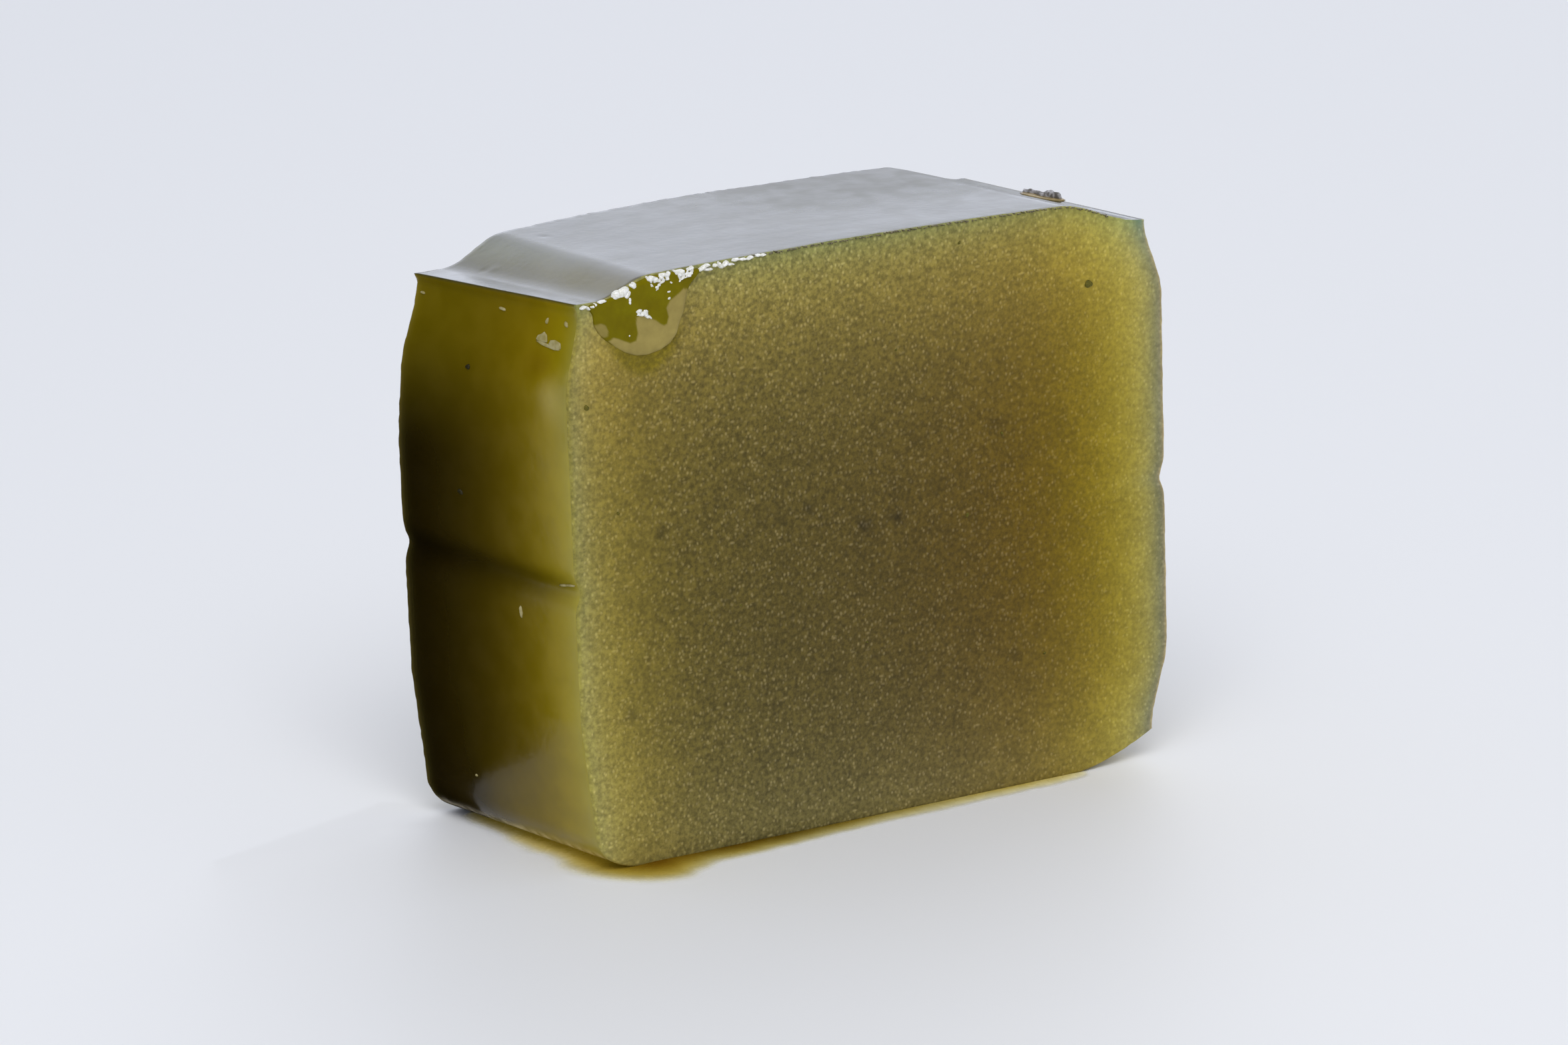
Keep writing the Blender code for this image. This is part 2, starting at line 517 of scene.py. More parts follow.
@dataclass(frozen=True)
class MouldedTone:
    """Tone of the moulded sides: deep olive, with painted light from the cuts, from the top and about the
    foot.

    Colours are added at full share. A fade is the distance at which a share has fallen to 1 over e, a bell
    curve has a middle and a width, and an eased ramp has a place that it starts from and a run.
    """

    # Nearly black on the left: painted shade, which the painted light of the glows lifts.
    left_deep_shade: Colour = (0.0006, 0.0004, 0.0002)
    right_deep: Colour = (0.120, 0.088, 0.004)
    front_glow: Colour = (0.5290, 0.3360, -0.0010)
    front_fade: float = 4.3 * MM
    front_green: Colour = (-0.082, 0.018, -0.011)
    front_green_fade: float = 2.5 * MM
    # A cooler, darker band of the painted light, close behind the front cut.
    front_skin: Colour = (-0.1030, -0.0600, 0.0500)
    front_skin_fade: float = 1.3 * MM
    back_glow: Colour = (0.25, 0.19, 0.004)
    # A thin painted highlight along the edge of the back cut.
    back_edge_highlight: Colour = (0.100, 0.085, 0.020)
    back_edge_highlight_fade: float = 0.3 * MM
    top_glow: Colour = (0.1464, 0.1072, -0.0009)
    top_less_in_front: Colour = (-0.2260, -0.1690, -0.0080)
    top_front_fade: float = 6.0 * MM
    top_from: float = 27.0 * MM
    top_run: float = 13.0 * MM
    foot_light: Colour = (0.0610, 0.0426, -0.0086)
    foot_from: float = 1.5 * MM
    foot_run: float = 7.0 * MM
    foot_reach: float = 12.5 * MM
    foot_reach_run: float = 4.5 * MM
    foot_less_in_front: Colour = (-0.0562, -0.0336, 0.0373)
    foot_front_fade: float = 4.0 * MM
    crease_shade: float = 0.48
    crease_shade_middle: float = 20.15 * MM
    crease_shade_width: float = 1.4 * MM
    crease_shade_fade: float = 1.8 * MM
    crown: Colour = (0.046, 0.043, 0.014)
    # Painted reflections: a light spot and a dark one near the front upper corner of the left side.
    painted_reflections: tuple[Spot, ...] = (
        Spot(1.8 * MM, 33.6 * MM, 1.2 * MM, 1.5 * MM, (0.070, 0.064, 0.040)),
        Spot(2.9 * MM, 35.7 * MM, 1.6 * MM, 1.0 * MM, (-0.045, -0.042, -0.010)),
    )
    least: float = 0.0004
    # A thin painted highlight that sparkles along the foot.
    foot_highlight: Colour = (0.26, 0.23, 0.17)
    foot_highlight_sparkle: float = 1.1
    foot_highlight_size: float = 0.5 * MM
    foot_highlight_seed: int = 13
    foot_highlight_height: float = 0.9 * MM
    foot_highlight_width: float = 0.35 * MM
    # Painted light along a valley beside the left lip, and a paler painted sheen on the shoulder.
    crown_valley: Colour = (0.175, 0.155, 0.080)
    valley_middle: float = 3.6 * MM
    valley_drift: float = 0.03
    valley_width: float = 1.6 * MM
    valley_fade: float = 12.0 * MM
    valley_less_in_front: float = 0.45
    valley_front_fade: float = 3.0 * MM
    shoulder: Colour = (0.060, 0.060, 0.075)
    shoulder_back: Colour = (0.100, 0.115, 0.090)
    shoulder_middle: float = 5.2 * MM
    shoulder_width: float = 1.4 * MM
    thickness: float = 17.6 * MM

    @staticmethod
    def fading(distance: Array, fade: float, colour: Colour, share: Array | float = 1.0) -> Array:
        """A colour times a share that falls off as e to the minus distance over fade."""
        return (share * np.exp(-distance / fade))[:, None] * np.array(colour)

    def glows(self, near: Nearness) -> Array:
        """Painted light from the front cut, and from the top by a ramp of height, less what the front takes of
        it.

        Args:
            near: Distances of the points.

        Returns:
            Colours to add, one row for each point.
        """
        upper = eased((near.foot - self.top_from) / self.top_run)
        glows = self.fading(near.front, self.front_fade, self.front_glow)
        glows = glows + self.fading(near.front, self.front_green_fade, self.front_green)
        glows = glows + self.fading(near.front, self.front_skin_fade, self.front_skin)
        glows = glows + self.fading(near.front, math.inf, self.top_glow, upper)
        return glows + self.fading(near.front, self.top_front_fade, self.top_less_in_front, upper)

    def left_side(self, near: Nearness, glows: Array) -> Array:
        """Tone of the left side: painted deep shade, glows and foot light, with crease, highlight and
        reflections.

        The foot's light is a ramp of height. The crease takes a share of all that by a bell curve, and more
        behind the front. A thin painted highlight sparkles along the foot, and painted reflections lie on the
        side.

        Args:
            near: Distances of the points.
            glows: Light that all sides get.

        Returns:
            Colours, one row for each point.
        """
        low = 1.0 - eased((near.foot - self.foot_from) / self.foot_run)
        lit = low * eased((self.foot_reach - near.front) / self.foot_reach_run)
        foot = self.fading(near.front, math.inf, self.foot_light, lit)
        foot = foot + self.fading(near.front, self.foot_front_fade, self.foot_less_in_front, low)
        tone = np.array(self.left_deep_shade) + glows + foot
        tone = tone + self.fading(near.back, self.back_edge_highlight_fade, self.back_edge_highlight)
        behind = 1.0 - np.exp(-near.front / self.crease_shade_fade)
        crease = bell(near.foot - self.crease_shade_middle, self.crease_shade_width)
        tone = tone * (1.0 - self.crease_shade * crease * behind)[:, None]
        sparkle = SoftNoise(self.foot_highlight_seed).at(near.front, near.foot, self.foot_highlight_size)
        glint = 1.0 + self.foot_highlight_sparkle * sparkle
        rim = np.maximum(glint, 0.0) * bell(near.foot - self.foot_highlight_height, self.foot_highlight_width)
        tone = tone + self.fading(near.back, math.inf, self.foot_highlight, rim)
        for painted_reflection in self.painted_reflections:
            tone = tone + painted_reflection.added(near)
        return np.maximum(tone, self.least)

    def top(self, near: Nearness) -> Array:
        """Tone of the top: the crown's, a warmer valley beside the left lip and a paler shoulder.

        The valley is painted light and the shoulder a painted sheen. The valley drifts right and fades towards
        the back, and the shoulder gains there.

        Args:
            near: Distances of the points.

        Returns:
            Colours, one row for each point.
        """
        middle = self.valley_middle + self.valley_drift * near.front
        valley = bell(near.left - middle, self.valley_width) * np.exp(-near.front / self.valley_fade)
        valley = valley * (1.0 - self.valley_less_in_front * np.exp(-near.front / self.valley_front_fade))
        tone = np.array(self.crown) + valley[:, None] * np.array(self.crown_valley)
        shoulder = bell(near.left - self.shoulder_middle, self.shoulder_width)
        tone = tone + self.fading(near.back, math.inf, self.shoulder, shoulder)
        gained = shoulder * near.front / self.thickness
        return tone + self.fading(near.back, math.inf, self.shoulder_back, gained)

    def of(self, near: Nearness) -> Array:
        """Colours at the points: left side and right side by rightness, and the top where they face up.

        Args:
            near: Distances of the points.

        Returns:
            Colours, one row for each point. The right side has a lighter deep tone and is lit from both cuts.
        """
        glows = self.glows(near)
        right = np.array(self.right_deep) + glows + self.fading(near.back, self.front_fade, self.back_glow)
        side = mixed(self.left_side(near, glows), right, near.rightness[:, None])
        return mixed(side, self.top(near), near.upward[:, None])


@dataclass(frozen=True)
class Dimple:
    """A small pit or bump on the top.

    Attributes:
        along: Across on the top.
        depth: Distance behind the front cut.
        length: Half length along the first coordinate.
        width: Half width along the depth.
        rise: Height over the surface, less than 0 for a pit.
    """

    along: float
    depth: float
    length: float
    width: float
    rise: float

    def relief(self, along: Array, depth: Array) -> Array:
        """Relief: the rise times a bell curve along each coordinate."""
        return self.rise * bell(along - self.along, self.length) * bell(depth - self.depth, self.width)


@dataclass
class SliceBody:
    """The whole slice as one closed skin: a band of moulded sides, rounded knife edges and two cut faces.

    The band is a surface of the place round the section and the depth. Each cut face is a Coons patch: the
    blend of its lower and upper edges plus the blend of its left and right ones, less that of its corners. A
    count is points along an edge, a rise the height of a relief, a size the spacing of its noise and a loss
    the share that something takes. An eased ramp has a place that it starts from and a run.
    """

    section: MouldedSection
    across_count: int = 186
    up_count: int = 154
    depth_count: int = 50
    edge_count: int = 3
    edge_radius: float = 0.16 * MM
    edge_wear: float = 0.035 * MM
    edge_wear_size: float = 0.45 * MM
    edge_wear_reach: float = 3.0
    grain_rise: float = 0.016 * MM
    grain_fade: float = 0.5 * MM
    ripple_rise: float = 0.05 * MM
    ripple_size: float = 5.0 * MM
    wave_rise: float = 0.02 * MM
    wave_size: float = 3.6 * MM
    wave_slant: float = 0.4
    streak_rise: float = 0.004 * MM
    streak_length: float = 9.0 * MM
    streak_width: float = 0.8 * MM
    streak_slant: float = 0.05
    streak_from: float = -1.0 * MM
    streak_run: float = 3.0 * MM
    top_from: float = 39.0 * MM
    top_run: float = 1.5 * MM
    top_slope: float = 0.35
    top_least: float = 30.0 * MM
    foot_run: float = 1.2 * MM
    right_from: float = 14.0 * MM
    right_run: float = 12.0 * MM
    soaked: Outline = (
        (-2.75, 37.6), (-1.95, 36.2), (-1.2, 35.4), (-0.1, 34.9), (1.1, 34.95), (2.0, 35.6), (2.8, 36.5),
        (3.2, 37.6), (1.4, 38.2), (-1.0, 38.0),
    )
    soaked_edge: float = 0.45
    soaked_tone: Colour = (0.205, 0.155, 0.004)
    soaked_share: float = 0.9
    front_skin: float = 1.0 * MM
    edge_shade: float = 0.10
    grain_loss: float = 0.5
    grain_from: float = 5.0 * MM
    grain_run: float = 35.0 * MM
    border_loss: float = 0.25
    border_fade: float = 2.0 * MM
    dull_from: float = 8.0 * MM
    dull_run: float = 18.0 * MM
    dull_behind: float = 3.0 * MM
    dull_depth_run: float = 9.0 * MM
    dense_count: int = 4001
    seed: int = 7
    dimples: tuple[Dimple, ...] = (
        Dimple(-1.3 * MM, 14.0 * MM, 0.28 * MM, 0.28 * MM, -0.10 * MM),
        Dimple(-1.0 * MM, 13.4 * MM, 0.26 * MM, 0.28 * MM, 0.06 * MM),
        Dimple(3.7 * MM, 14.2 * MM, 0.16 * MM, 0.22 * MM, -0.07 * MM),
    )

    def __post_init__(self) -> None:
        """Starts the random draws."""
        self.noise = SoftNoise(self.seed)
        self.fine = np.random.default_rng(self.seed)

    def evenly(self, side: str, low: float, high: float, count: int) -> Array:
        """Places along a side of the front section that are evenly spaced by length.

        Args:
            side: Name of the section's curve.
            low: Place where the side starts.
            high: Place where it ends.
            count: How many places to give.

        Returns:
            The places, with both ends.
        """
        dense = np.linspace(low, high, self.dense_count)
        across, height = getattr(self.section, side)(dense, np.float64(0.0))
        steps = np.hypot(np.diff(across), np.diff(height))
        length = np.concatenate([[0.0], np.cumsum(steps)])
        return np.interp(np.linspace(0.0, length[-1], count), length, dense)

    def depths(self) -> tuple[Array, Array]:
        """Rows of the band: even ones, with a quarter circle of the edge radius at each cut.

        Returns:
            Depth of each row, and how far the edge draws it in.
        """
        turn = np.linspace(0.0, math.pi / 2.0, self.edge_count + 1)
        edge_depth = self.edge_radius * (1.0 - np.cos(turn))
        edge_inset = self.edge_radius * (1.0 - np.sin(turn))
        thickness = self.section.thickness
        inner = np.linspace(self.edge_radius, thickness - self.edge_radius, self.depth_count + 1)[1:-1]
        depth = np.concatenate([edge_depth, inner, thickness - edge_depth[::-1]])
        return depth, np.concatenate([edge_inset, 0.0 * inner, edge_inset[::-1]])

    def band(self) -> tuple[Array, Array, Array]:
        """The band as rows of depth by columns round the section.

        Returns:
            Across, height and depth of each point.
        """
        depth, inset = self.depths()
        share = (depth / self.section.thickness)[:, None]
        runs = (
            ("underside", -1.0, 2.0, self.across_count),
            ("right", 0.0, 1.0, self.up_count),
            ("top", 0.0, 1.0, self.across_count),
            ("left", 0.0, 2.0, self.up_count),
        )
        parts = []
        for side, low, high, count in runs:
            place = self.evenly(side, low, high, count)[None, :-1]
            parts.append(getattr(self.section, side)(place, share))
        across = np.concatenate([part[0] for part in parts], axis=1)
        height = np.concatenate([part[1] for part in parts], axis=1)
        run = np.cumsum(np.hypot(across[0] - np.roll(across[0], 1), height[0] - np.roll(height[0], 1)))
        out_across, out_height = self.outward(across, height)
        rise = self.side_relief(across, height, depth[:, None], run[None, :]) - inset[:, None]
        self.upward = eased((out_height - self.top_slope) / self.top_slope) * (height > self.top_least)
        return across + out_across * rise, height + out_height * rise, depth[:, None] + 0.0 * across

    def outward(self, across: Array, height: Array) -> tuple[Array, Array]:
        """Unit normals of the section's outline: the tangent between neighbours, turned a quarter outwards.

        Args:
            across: Across of each point.
            height: Height of each point.

        Returns:
            Their parts along across and height.
        """
        along = np.roll(across, -1, axis=1) - np.roll(across, 1, axis=1)
        up = np.roll(height, -1, axis=1) - np.roll(height, 1, axis=1)
        length = np.hypot(along, up)
        return up / length, -along / length

    def side_relief(self, across: Array, height: Array, depth: Array, run: Array) -> Array:
        """Relief of the moulded sides: broad waves, streaks along the top, small marks and worn knife edges.

        Args:
            across: Across of each point.
            height: Height of each point.
            depth: Depth of each row.
            run: Length round the section of each column.

        Returns:
            Rise along the outward normal, in metres. It is nothing on the flat underside.
        """
        thickness = self.section.thickness
        wave = self.wave_rise * self.noise.at(run, depth + self.wave_slant * run, self.wave_size)
        on_top = eased((height - self.top_from) / self.top_run)
        slanted = depth + self.streak_slant * across
        streak = self.noise.at(across / self.streak_length, slanted / self.streak_width, 1.0)
        streak = streak * eased((across - self.streak_from) / self.streak_run)
        marks = sum(dimple.relief(across, depth) for dimple in self.dimples)
        from_cut = np.minimum(depth, thickness - depth)
        worn = eased(1.0 - from_cut / (self.edge_wear_reach * self.edge_radius))
        wear = self.edge_wear * self.noise.at(run, depth, self.edge_wear_size) * worn
        lifted = eased(height / self.foot_run)
        return lifted * (wave + on_top * (self.streak_rise * streak + marks) + wear)

    def patch(self, ring: Array) -> Array:
        """A Coons patch within a closed ring of values round the section.

        Args:
            ring: Values round the section, from the foot along the underside.

        Returns:
            The values as rows up by columns across.
        """
        a, u = self.across_count, self.up_count
        closed = np.append(ring, ring[0])
        low = closed[:a]
        right = closed[a - 1 : a + u - 1]
        high = closed[a + u - 2 : 2 * a + u - 2][::-1]
        left = closed[2 * a + u - 3 :][::-1]
        s, t = np.linspace(0.0, 1.0, a)[None, :], np.linspace(0.0, 1.0, u)[:, None]
        corners = mixed(mixed(low[0], low[-1], s), mixed(high[0], high[-1], s), t)
        return mixed(low[None, :], high[None, :], t) + mixed(left[:, None], right[:, None], s) - corners

    def numbers(self, first: int, ring: Array) -> Array:
        """Point numbers of a cut face: the ring's own numbers round its border, then new ones inside.

        Args:
            first: Number of the first point inside.
            ring: Point numbers round the border.

        Returns:
            The numbers as rows up by columns across.
        """
        a, u = self.across_count, self.up_count
        closed = np.append(ring, ring[0])
        grid = np.empty((u, a), dtype=np.int64)
        grid[1:-1, 1:-1] = first + np.arange((u - 2) * (a - 2)).reshape(u - 2, a - 2)
        grid[0] = closed[:a]
        grid[:, -1] = closed[a - 1 : a + u - 1]
        grid[-1] = closed[a + u - 2 : 2 * a + u - 2][::-1]
        grid[:, 0] = closed[2 * a + u - 3 :][::-1]
        return grid

    def cut_relief(self, across: Array, height: Array) -> Array:
        """Relief of a cut face: fine grain on faint ripples, both fading out at the border.

        Args:
            across: Across of each point.
            height: Height of each point.

        Returns:
            Rise along the face's outward normal, in metres.
        """
        section = self.section
        from_side = np.minimum(section.right_side(height) - across, across - section.left_side(height, 0.5))
        from_top = section.field_height - height
        inside = eased(np.minimum(np.minimum(from_side, from_top), height) / self.grain_fade)
        ripple = self.noise.at(across + 0.3 * height, height, self.ripple_size)
        grain = self.fine.normal(0.0, 1.0, across.shape)
        return inside * (self.ripple_rise * ripple + self.grain_rise * np.clip(grain, -2.0, 2.0))

    def nearness(self, across: Array, height: Array, depth: Array, upward: Array) -> Nearness:
        """Distances of points from the faces, measured along across, height and depth.

        Args:
            across: Across of each point.
            height: Height of each point.
            depth: Depth of each point.
            upward: How much each point's surface is the top, from 0 to 1.

        Returns:
            The distances.
        """
        section = self.section
        depth = np.clip(depth, 0.0, section.thickness)
        share = depth / section.thickness
        side = section.left_side(height, share)
        lip = section.left_lip_across + section.lip_in * share
        from_left = mixed(np.maximum(across - side, 0.0), np.maximum(across - lip, 0.0), upward)
        from_right = np.maximum(section.right_side(height) - across, 0.0)
        from_lip = np.maximum(section.right_side(np.float64(section.right_top_height)) - across, 0.0)
        from_top = np.maximum(section.top_height(from_lip, share) - height, 0.0)
        rightness = eased((across - self.right_from) / self.right_run)
        back = section.thickness - depth
        return Nearness(from_left, from_right, from_top, height, depth, back, upward, rightness)

    def place(self, across: Array, height: Array, depth: Array) -> Array:
        """Points in the part's frame: each depth is shifted by the skew, then centred as the part is.

        Args:
            across: Across of each point.
            height: Height of each point.
            depth: Depth of each point.

        Returns:
            The points, one row each.
        """
        points = np.column_stack([across - depth * math.tan(self.section.cut_skew), depth, height])
        middle = (points.min(axis=0) + points.max(axis=0)) / 2.0
        low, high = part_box(NODE)
        centre = (low + high) / 2.0
        self.origin = np.array([centre.x - middle[0], centre.y - middle[1], low.z])
        return points + self.origin

    def set_out(self, across: Array, height: Array, depth: Array) -> Array:
        """Points in the part's frame for a small piece, once the skin is placed."""
        skewed = across - depth * math.tan(self.section.cut_skew)
        return np.column_stack([skewed, depth, height]) + self.origin

    def dressing(self, across: Array, height: Array, depth: Array, upward: Array) -> tuple[Values, Values]:
        """Masks and tones of the skin.

        The patch that syrup soaked is marked by its outline on the front cut. The grain loses sharpness as
        the square of a ramp towards the right end, and beside the left border. The top grows dull by eased
        ramps towards its right and its back.

        Args:
            across: Across of each point.
            height: Height of each point.
            depth: Depth of each point.
            upward: How much each point's surface is the top, from 0 to 1.

        Returns:
            The masks and the tones, by name.
        """
        near = self.nearness(across, height, depth, upward)
        in_front = depth < self.front_skin
        inside = within(across / MM, height / MM, self.soaked)
        soaked = eased(0.5 + inside / (2.0 * self.soaked_edge)) * in_front
        cut_tone = mixed(CutTone().of(near), np.array(self.soaked_tone), self.soaked_share * soaked[:, None])
        cut_tone = cut_tone * (1.0 - self.edge_shade * upward * in_front)[:, None]
        sharp = 1.0 - self.grain_loss * np.clip((across - self.grain_from) / self.grain_run, 0.0, 1.0) ** 2
        sharp = sharp * (1.0 - self.border_loss * np.exp(-np.maximum(across, 0.0) / self.border_fade))
        dull = eased((across - self.dull_from) / self.dull_run)
        dull = dull * eased((depth - self.dull_behind) / self.dull_depth_run) * upward
        masks = {"soaked": soaked, "sharp": sharp, "dull": dull}
        return masks, {"cut_tone": cut_tone, "moulded_tone": MouldedTone().of(near)}

    def piece(self, cut: bpy.types.Material, moulded: bpy.types.Material) -> Piece:
        """The closed skin with its tones and its two materials.

        Args:
            cut: Material of the knife-cut faces.
            moulded: Material of the moulded sides.

        Returns:
            The piece, ready to make.
        """
        across, height, depth = self.band()
        rows, columns = across.shape
        ring = np.arange(columns)
        faces, all_across, all_height, all_depth = [], [across.ravel()], [height.ravel()], [depth.ravel()]
        first = across.size
        for row, side in ((0, -1.0), (rows - 1, 1.0)):
            face_across, face_height = self.patch(across[row]), self.patch(height[row])
            rise = self.cut_relief(face_across, face_height)
            grid = self.numbers(first, row * columns + ring)
            first += (self.up_count - 2) * (self.across_count - 2)
            all_across.append(face_across[1:-1, 1:-1].ravel())
            all_height.append(face_height[1:-1, 1:-1].ravel())
            all_depth.append((depth[row, 0] + side * rise)[1:-1, 1:-1].ravel())
            faces.append(quads_of(grid.T if side < 0.0 else grid))
        wrapped = np.arange(rows)[:, None] * columns + np.append(ring, 0)[None, :]
        sides = quads_of(wrapped)
        slots = np.concatenate([np.ones(len(sides)), np.zeros(len(faces[0]) + len(faces[1]))])
        row_of = np.repeat(np.arange(rows - 1), columns)
        slots[: len(sides)][row_of < self.edge_count] = 0
        across, height, depth = (np.concatenate(a) for a in (all_across, all_height, all_depth))
        points = self.place(across, height, depth)
        quads = np.concatenate([sides, *faces])
        upward = np.concatenate([self.upward.ravel(), np.zeros(len(across) - self.upward.size)])
        masks, tones = self.dressing(across, height, depth, upward)
        return Piece("jelly_slice", points, quads, [cut, moulded], slots, masks, tones)


# --- small pieces


class Face(Enum):
    """The faces of the slice that small pieces lie on, with their two coordinates."""

    FRONT = "across and height"
    LEFT = "depth and height"
    TOP = "across and depth"


@dataclass(frozen=True)
class Daub:
    """A small closed thing that lies on a face of the slice, such as a drop, a bead, a speck or a flake.

    Attributes:
        face: The face that it lies on.
        outline: Corners in turn, in millimetres of the face's two coordinates, seen from their middle.
        rise: How far it stands out, in millimetres.
        rim: How far from its rim it reaches that rise, in millimetres.
        sink: How deep its hidden side goes, in millimetres.
        grid: Points along each side of its grid.
        soften: Turn over which the outline is smoothed, in degrees.
        lumps: Share of the rise by which it is uneven.
        lump_size: Size of those lumps, in millimetres.
        lump_seed: Start of their random draw.
    """

    face: Face
    outline: Outline
    rise: float = 0.12
    rim: float = 0.3
    sink: float = 0.15
    grid: int = 10
    soften: float = 14.0
    lumps: float = 0.0
    lump_size: float = 0.7
    lump_seed: int = 3

    def reach(self, angle: Array, middle: Array) -> Array:
        """Distance from the middle to the outline at each angle: the corners' distances, joined and smoothed.

        Args:
            angle: Angles, in radians.
            middle: The outline's middle.

        Returns:
            Distances, in millimetres.
        """
        corners = np.array(self.outline) - middle
        dense = np.linspace(0.0, 1.0, 40, endpoint=False)[:, None]
        runs = [mixed(corner, after, dense) for corner, after in zip(corners, np.roll(corners, -1, axis=0))]
        path = np.concatenate(runs)
        turns = np.arctan2(path[:, 1], path[:, 0])
        order = np.argsort(turns)
        lengths = np.hypot(path[:, 0], path[:, 1])[order]
        offsets = math.radians(self.soften) * np.linspace(-0.5, 0.5, 7)
        return sum(np.interp(angle + o, turns[order], lengths, period=2.0 * math.pi) for o in offsets) / 7.0

    def surface(self) -> tuple[Array, Array, Array, Array]:
        """Its two sides as a round cushion.

        A square grid is rounded to a disc: each coordinate times the root of 1 less half the other's square.
        The disc is stretched to the outline. The seen side rises as a quarter circle from the rim, and the
        hidden side sinks as half an ellipse.

        Returns:
            First and second coordinates and the rise of each point, in metres, and its quads.
        """
        middle = np.array(self.outline).mean(axis=0)
        n = self.grid
        u, v = np.meshgrid(np.linspace(-1.0, 1.0, n), np.linspace(-1.0, 1.0, n), indexing="ij")
        x, y = u * np.sqrt(1.0 - v * v / 2.0), v * np.sqrt(1.0 - u * u / 2.0)
        radius, angle = np.hypot(x, y), np.arctan2(y, x)
        reach = self.reach(angle, middle)
        first, second = middle[0] + x * reach, middle[1] + y * reach
        inward = np.clip((1.0 - radius) * reach / self.rim, 0.0, 1.0)
        lump = 1.0 + self.lumps * SoftNoise(self.lump_seed).at(first, second, self.lump_size)
        seen = self.rise * np.sqrt(1.0 - (1.0 - inward) ** 2) * lump
        hidden = -self.sink * np.sqrt(np.clip(1.0 - radius**2, 0.0, 1.0))
        front = np.arange(n * n).reshape(n, n)
        back = n * n + np.arange(n * n).reshape(n, n)
        rim = radius > 1.0 - 1e-6
        back[rim] = front[rim]
        quads = np.concatenate([quads_of(front), quads_of(back.T)])
        sides = ((first, first), (second, second), (seen, hidden))
        coordinates = [np.concatenate([a.ravel(), b.ravel()]) * MM for a, b in sides]
        used = np.unique(quads)
        renumbered = np.zeros(2 * n * n, dtype=np.int64)
        renumbered[used] = np.arange(len(used))
        return (*[c[used] for c in coordinates], renumbered[quads])


@dataclass
class Daubs:
    """Small things of one kind, made as one piece.

    Attributes:
        name: Name of the piece.
        body: The slice that they lie on.
        daubs: The things.
    """

    name: str
    body: SliceBody
    daubs: list[Daub]

    def on_face(self, face: Face, first: Array, second: Array, rise: Array) -> tuple[Array, Array, Array]:
        """Across, height and depth of points that rise from a face.

        Args:
            face: The face.
            first: First coordinate on the face.
            second: Second coordinate on the face.
            rise: Distance in front of the face.

        Returns:
            Across, height and depth.
        """
        section = self.body.section
        if face is Face.FRONT:
            return first, second, -rise
        if face is Face.LEFT:
            share = first / section.thickness
            squeeze = section.lip_down * share / (section.left_lip_height - section.left_crease_height)
            above = np.maximum(second - section.left_crease_height, 0.0)
            nominal = second + above * squeeze / (1.0 - squeeze)
            return section.left_side(nominal, share) - rise, second, first
        share = second / section.thickness
        right_lip = section.right_side(np.float64(section.right_top_height))
        return first, section.top_height(right_lip - first, share) + rise, second

    def piece(self, look: bpy.types.Material) -> Piece:
        """All of them in one mesh.

        Args:
            look: Their material.

        Returns:
            The piece, ready to make.
        """
        places, quads, count = [], [], 0
        for daub in self.daubs:
            first, second, rise, faces = daub.surface()
            places.append(np.stack(self.on_face(daub.face, first, second, rise)))
            if daub.face is Face.FRONT:
                faces = faces[:, ::-1]
            quads.append(faces + count)
            count += len(first)
        self.places = np.concatenate(places, axis=1)
        points = self.body.set_out(*self.places)
        return Piece(self.name, points, np.concatenate(quads), [look])


OVAL_CORNERS = 11
OVAL_UNEVENNESS = 0.22


def rounded(first: float, second: float, half: tuple[float, float], tilt: float, seed: int) -> Outline:
    """An uneven oval outline.

    Args:
        first: First coordinate of its middle, in millimetres.
        second: Second coordinate of its middle.
        half: Its half length and half width.
        tilt: Turn of its length from the first coordinate, in degrees.
        seed: Start of the random draw of its unevenness.

    Returns:
        Its corners in turn.
    """
    turn = np.linspace(0.0, 2.0 * math.pi, OVAL_CORNERS, endpoint=False)
    draw = np.random.default_rng(seed)
    uneven = 1.0 + draw.uniform(-OVAL_UNEVENNESS, OVAL_UNEVENNESS, OVAL_CORNERS)
    along, over = half[0] * uneven * np.cos(turn), half[1] * uneven * np.sin(turn)
    cos, sin = math.cos(math.radians(tilt)), math.sin(math.radians(tilt))
    turned = np.column_stack([first + along * cos - over * sin, second + along * sin + over * cos])
    return tuple(tuple(corner) for corner in turned.tolist())


def within(first: Array, second: Array, outline: Outline) -> Array:
    """Distance of points inside an outline from it, less than 0 outside: the nearest of its straight runs.

    Args:
        first: First coordinates of the points.
        second: Second coordinates of the points.
        outline: Corners in turn.

    Returns:
        Distances, in the units of the coordinates.
    """
    corners = np.array(outline)
    nearest, inside = np.full(first.shape, np.inf), np.zeros(first.shape, dtype=bool)
    for (x0, y0), (x1, y1) in zip(corners, np.roll(corners, -1, axis=0)):
        run_x, run_y = x1 - x0, y1 - y0
        share = np.clip(((first - x0) * run_x + (second - y0) * run_y) / (run_x**2 + run_y**2), 0.0, 1.0)
        nearest = np.minimum(nearest, np.hypot(first - x0 - share * run_x, second - y0 - share * run_y))
        if run_y:
            crosses = (second >= min(y0, y1)) & (second < max(y0, y1))
            inside ^= crosses & (first < x0 + (second - y0) * run_x / run_y)
    return np.where(inside, nearest, -nearest)


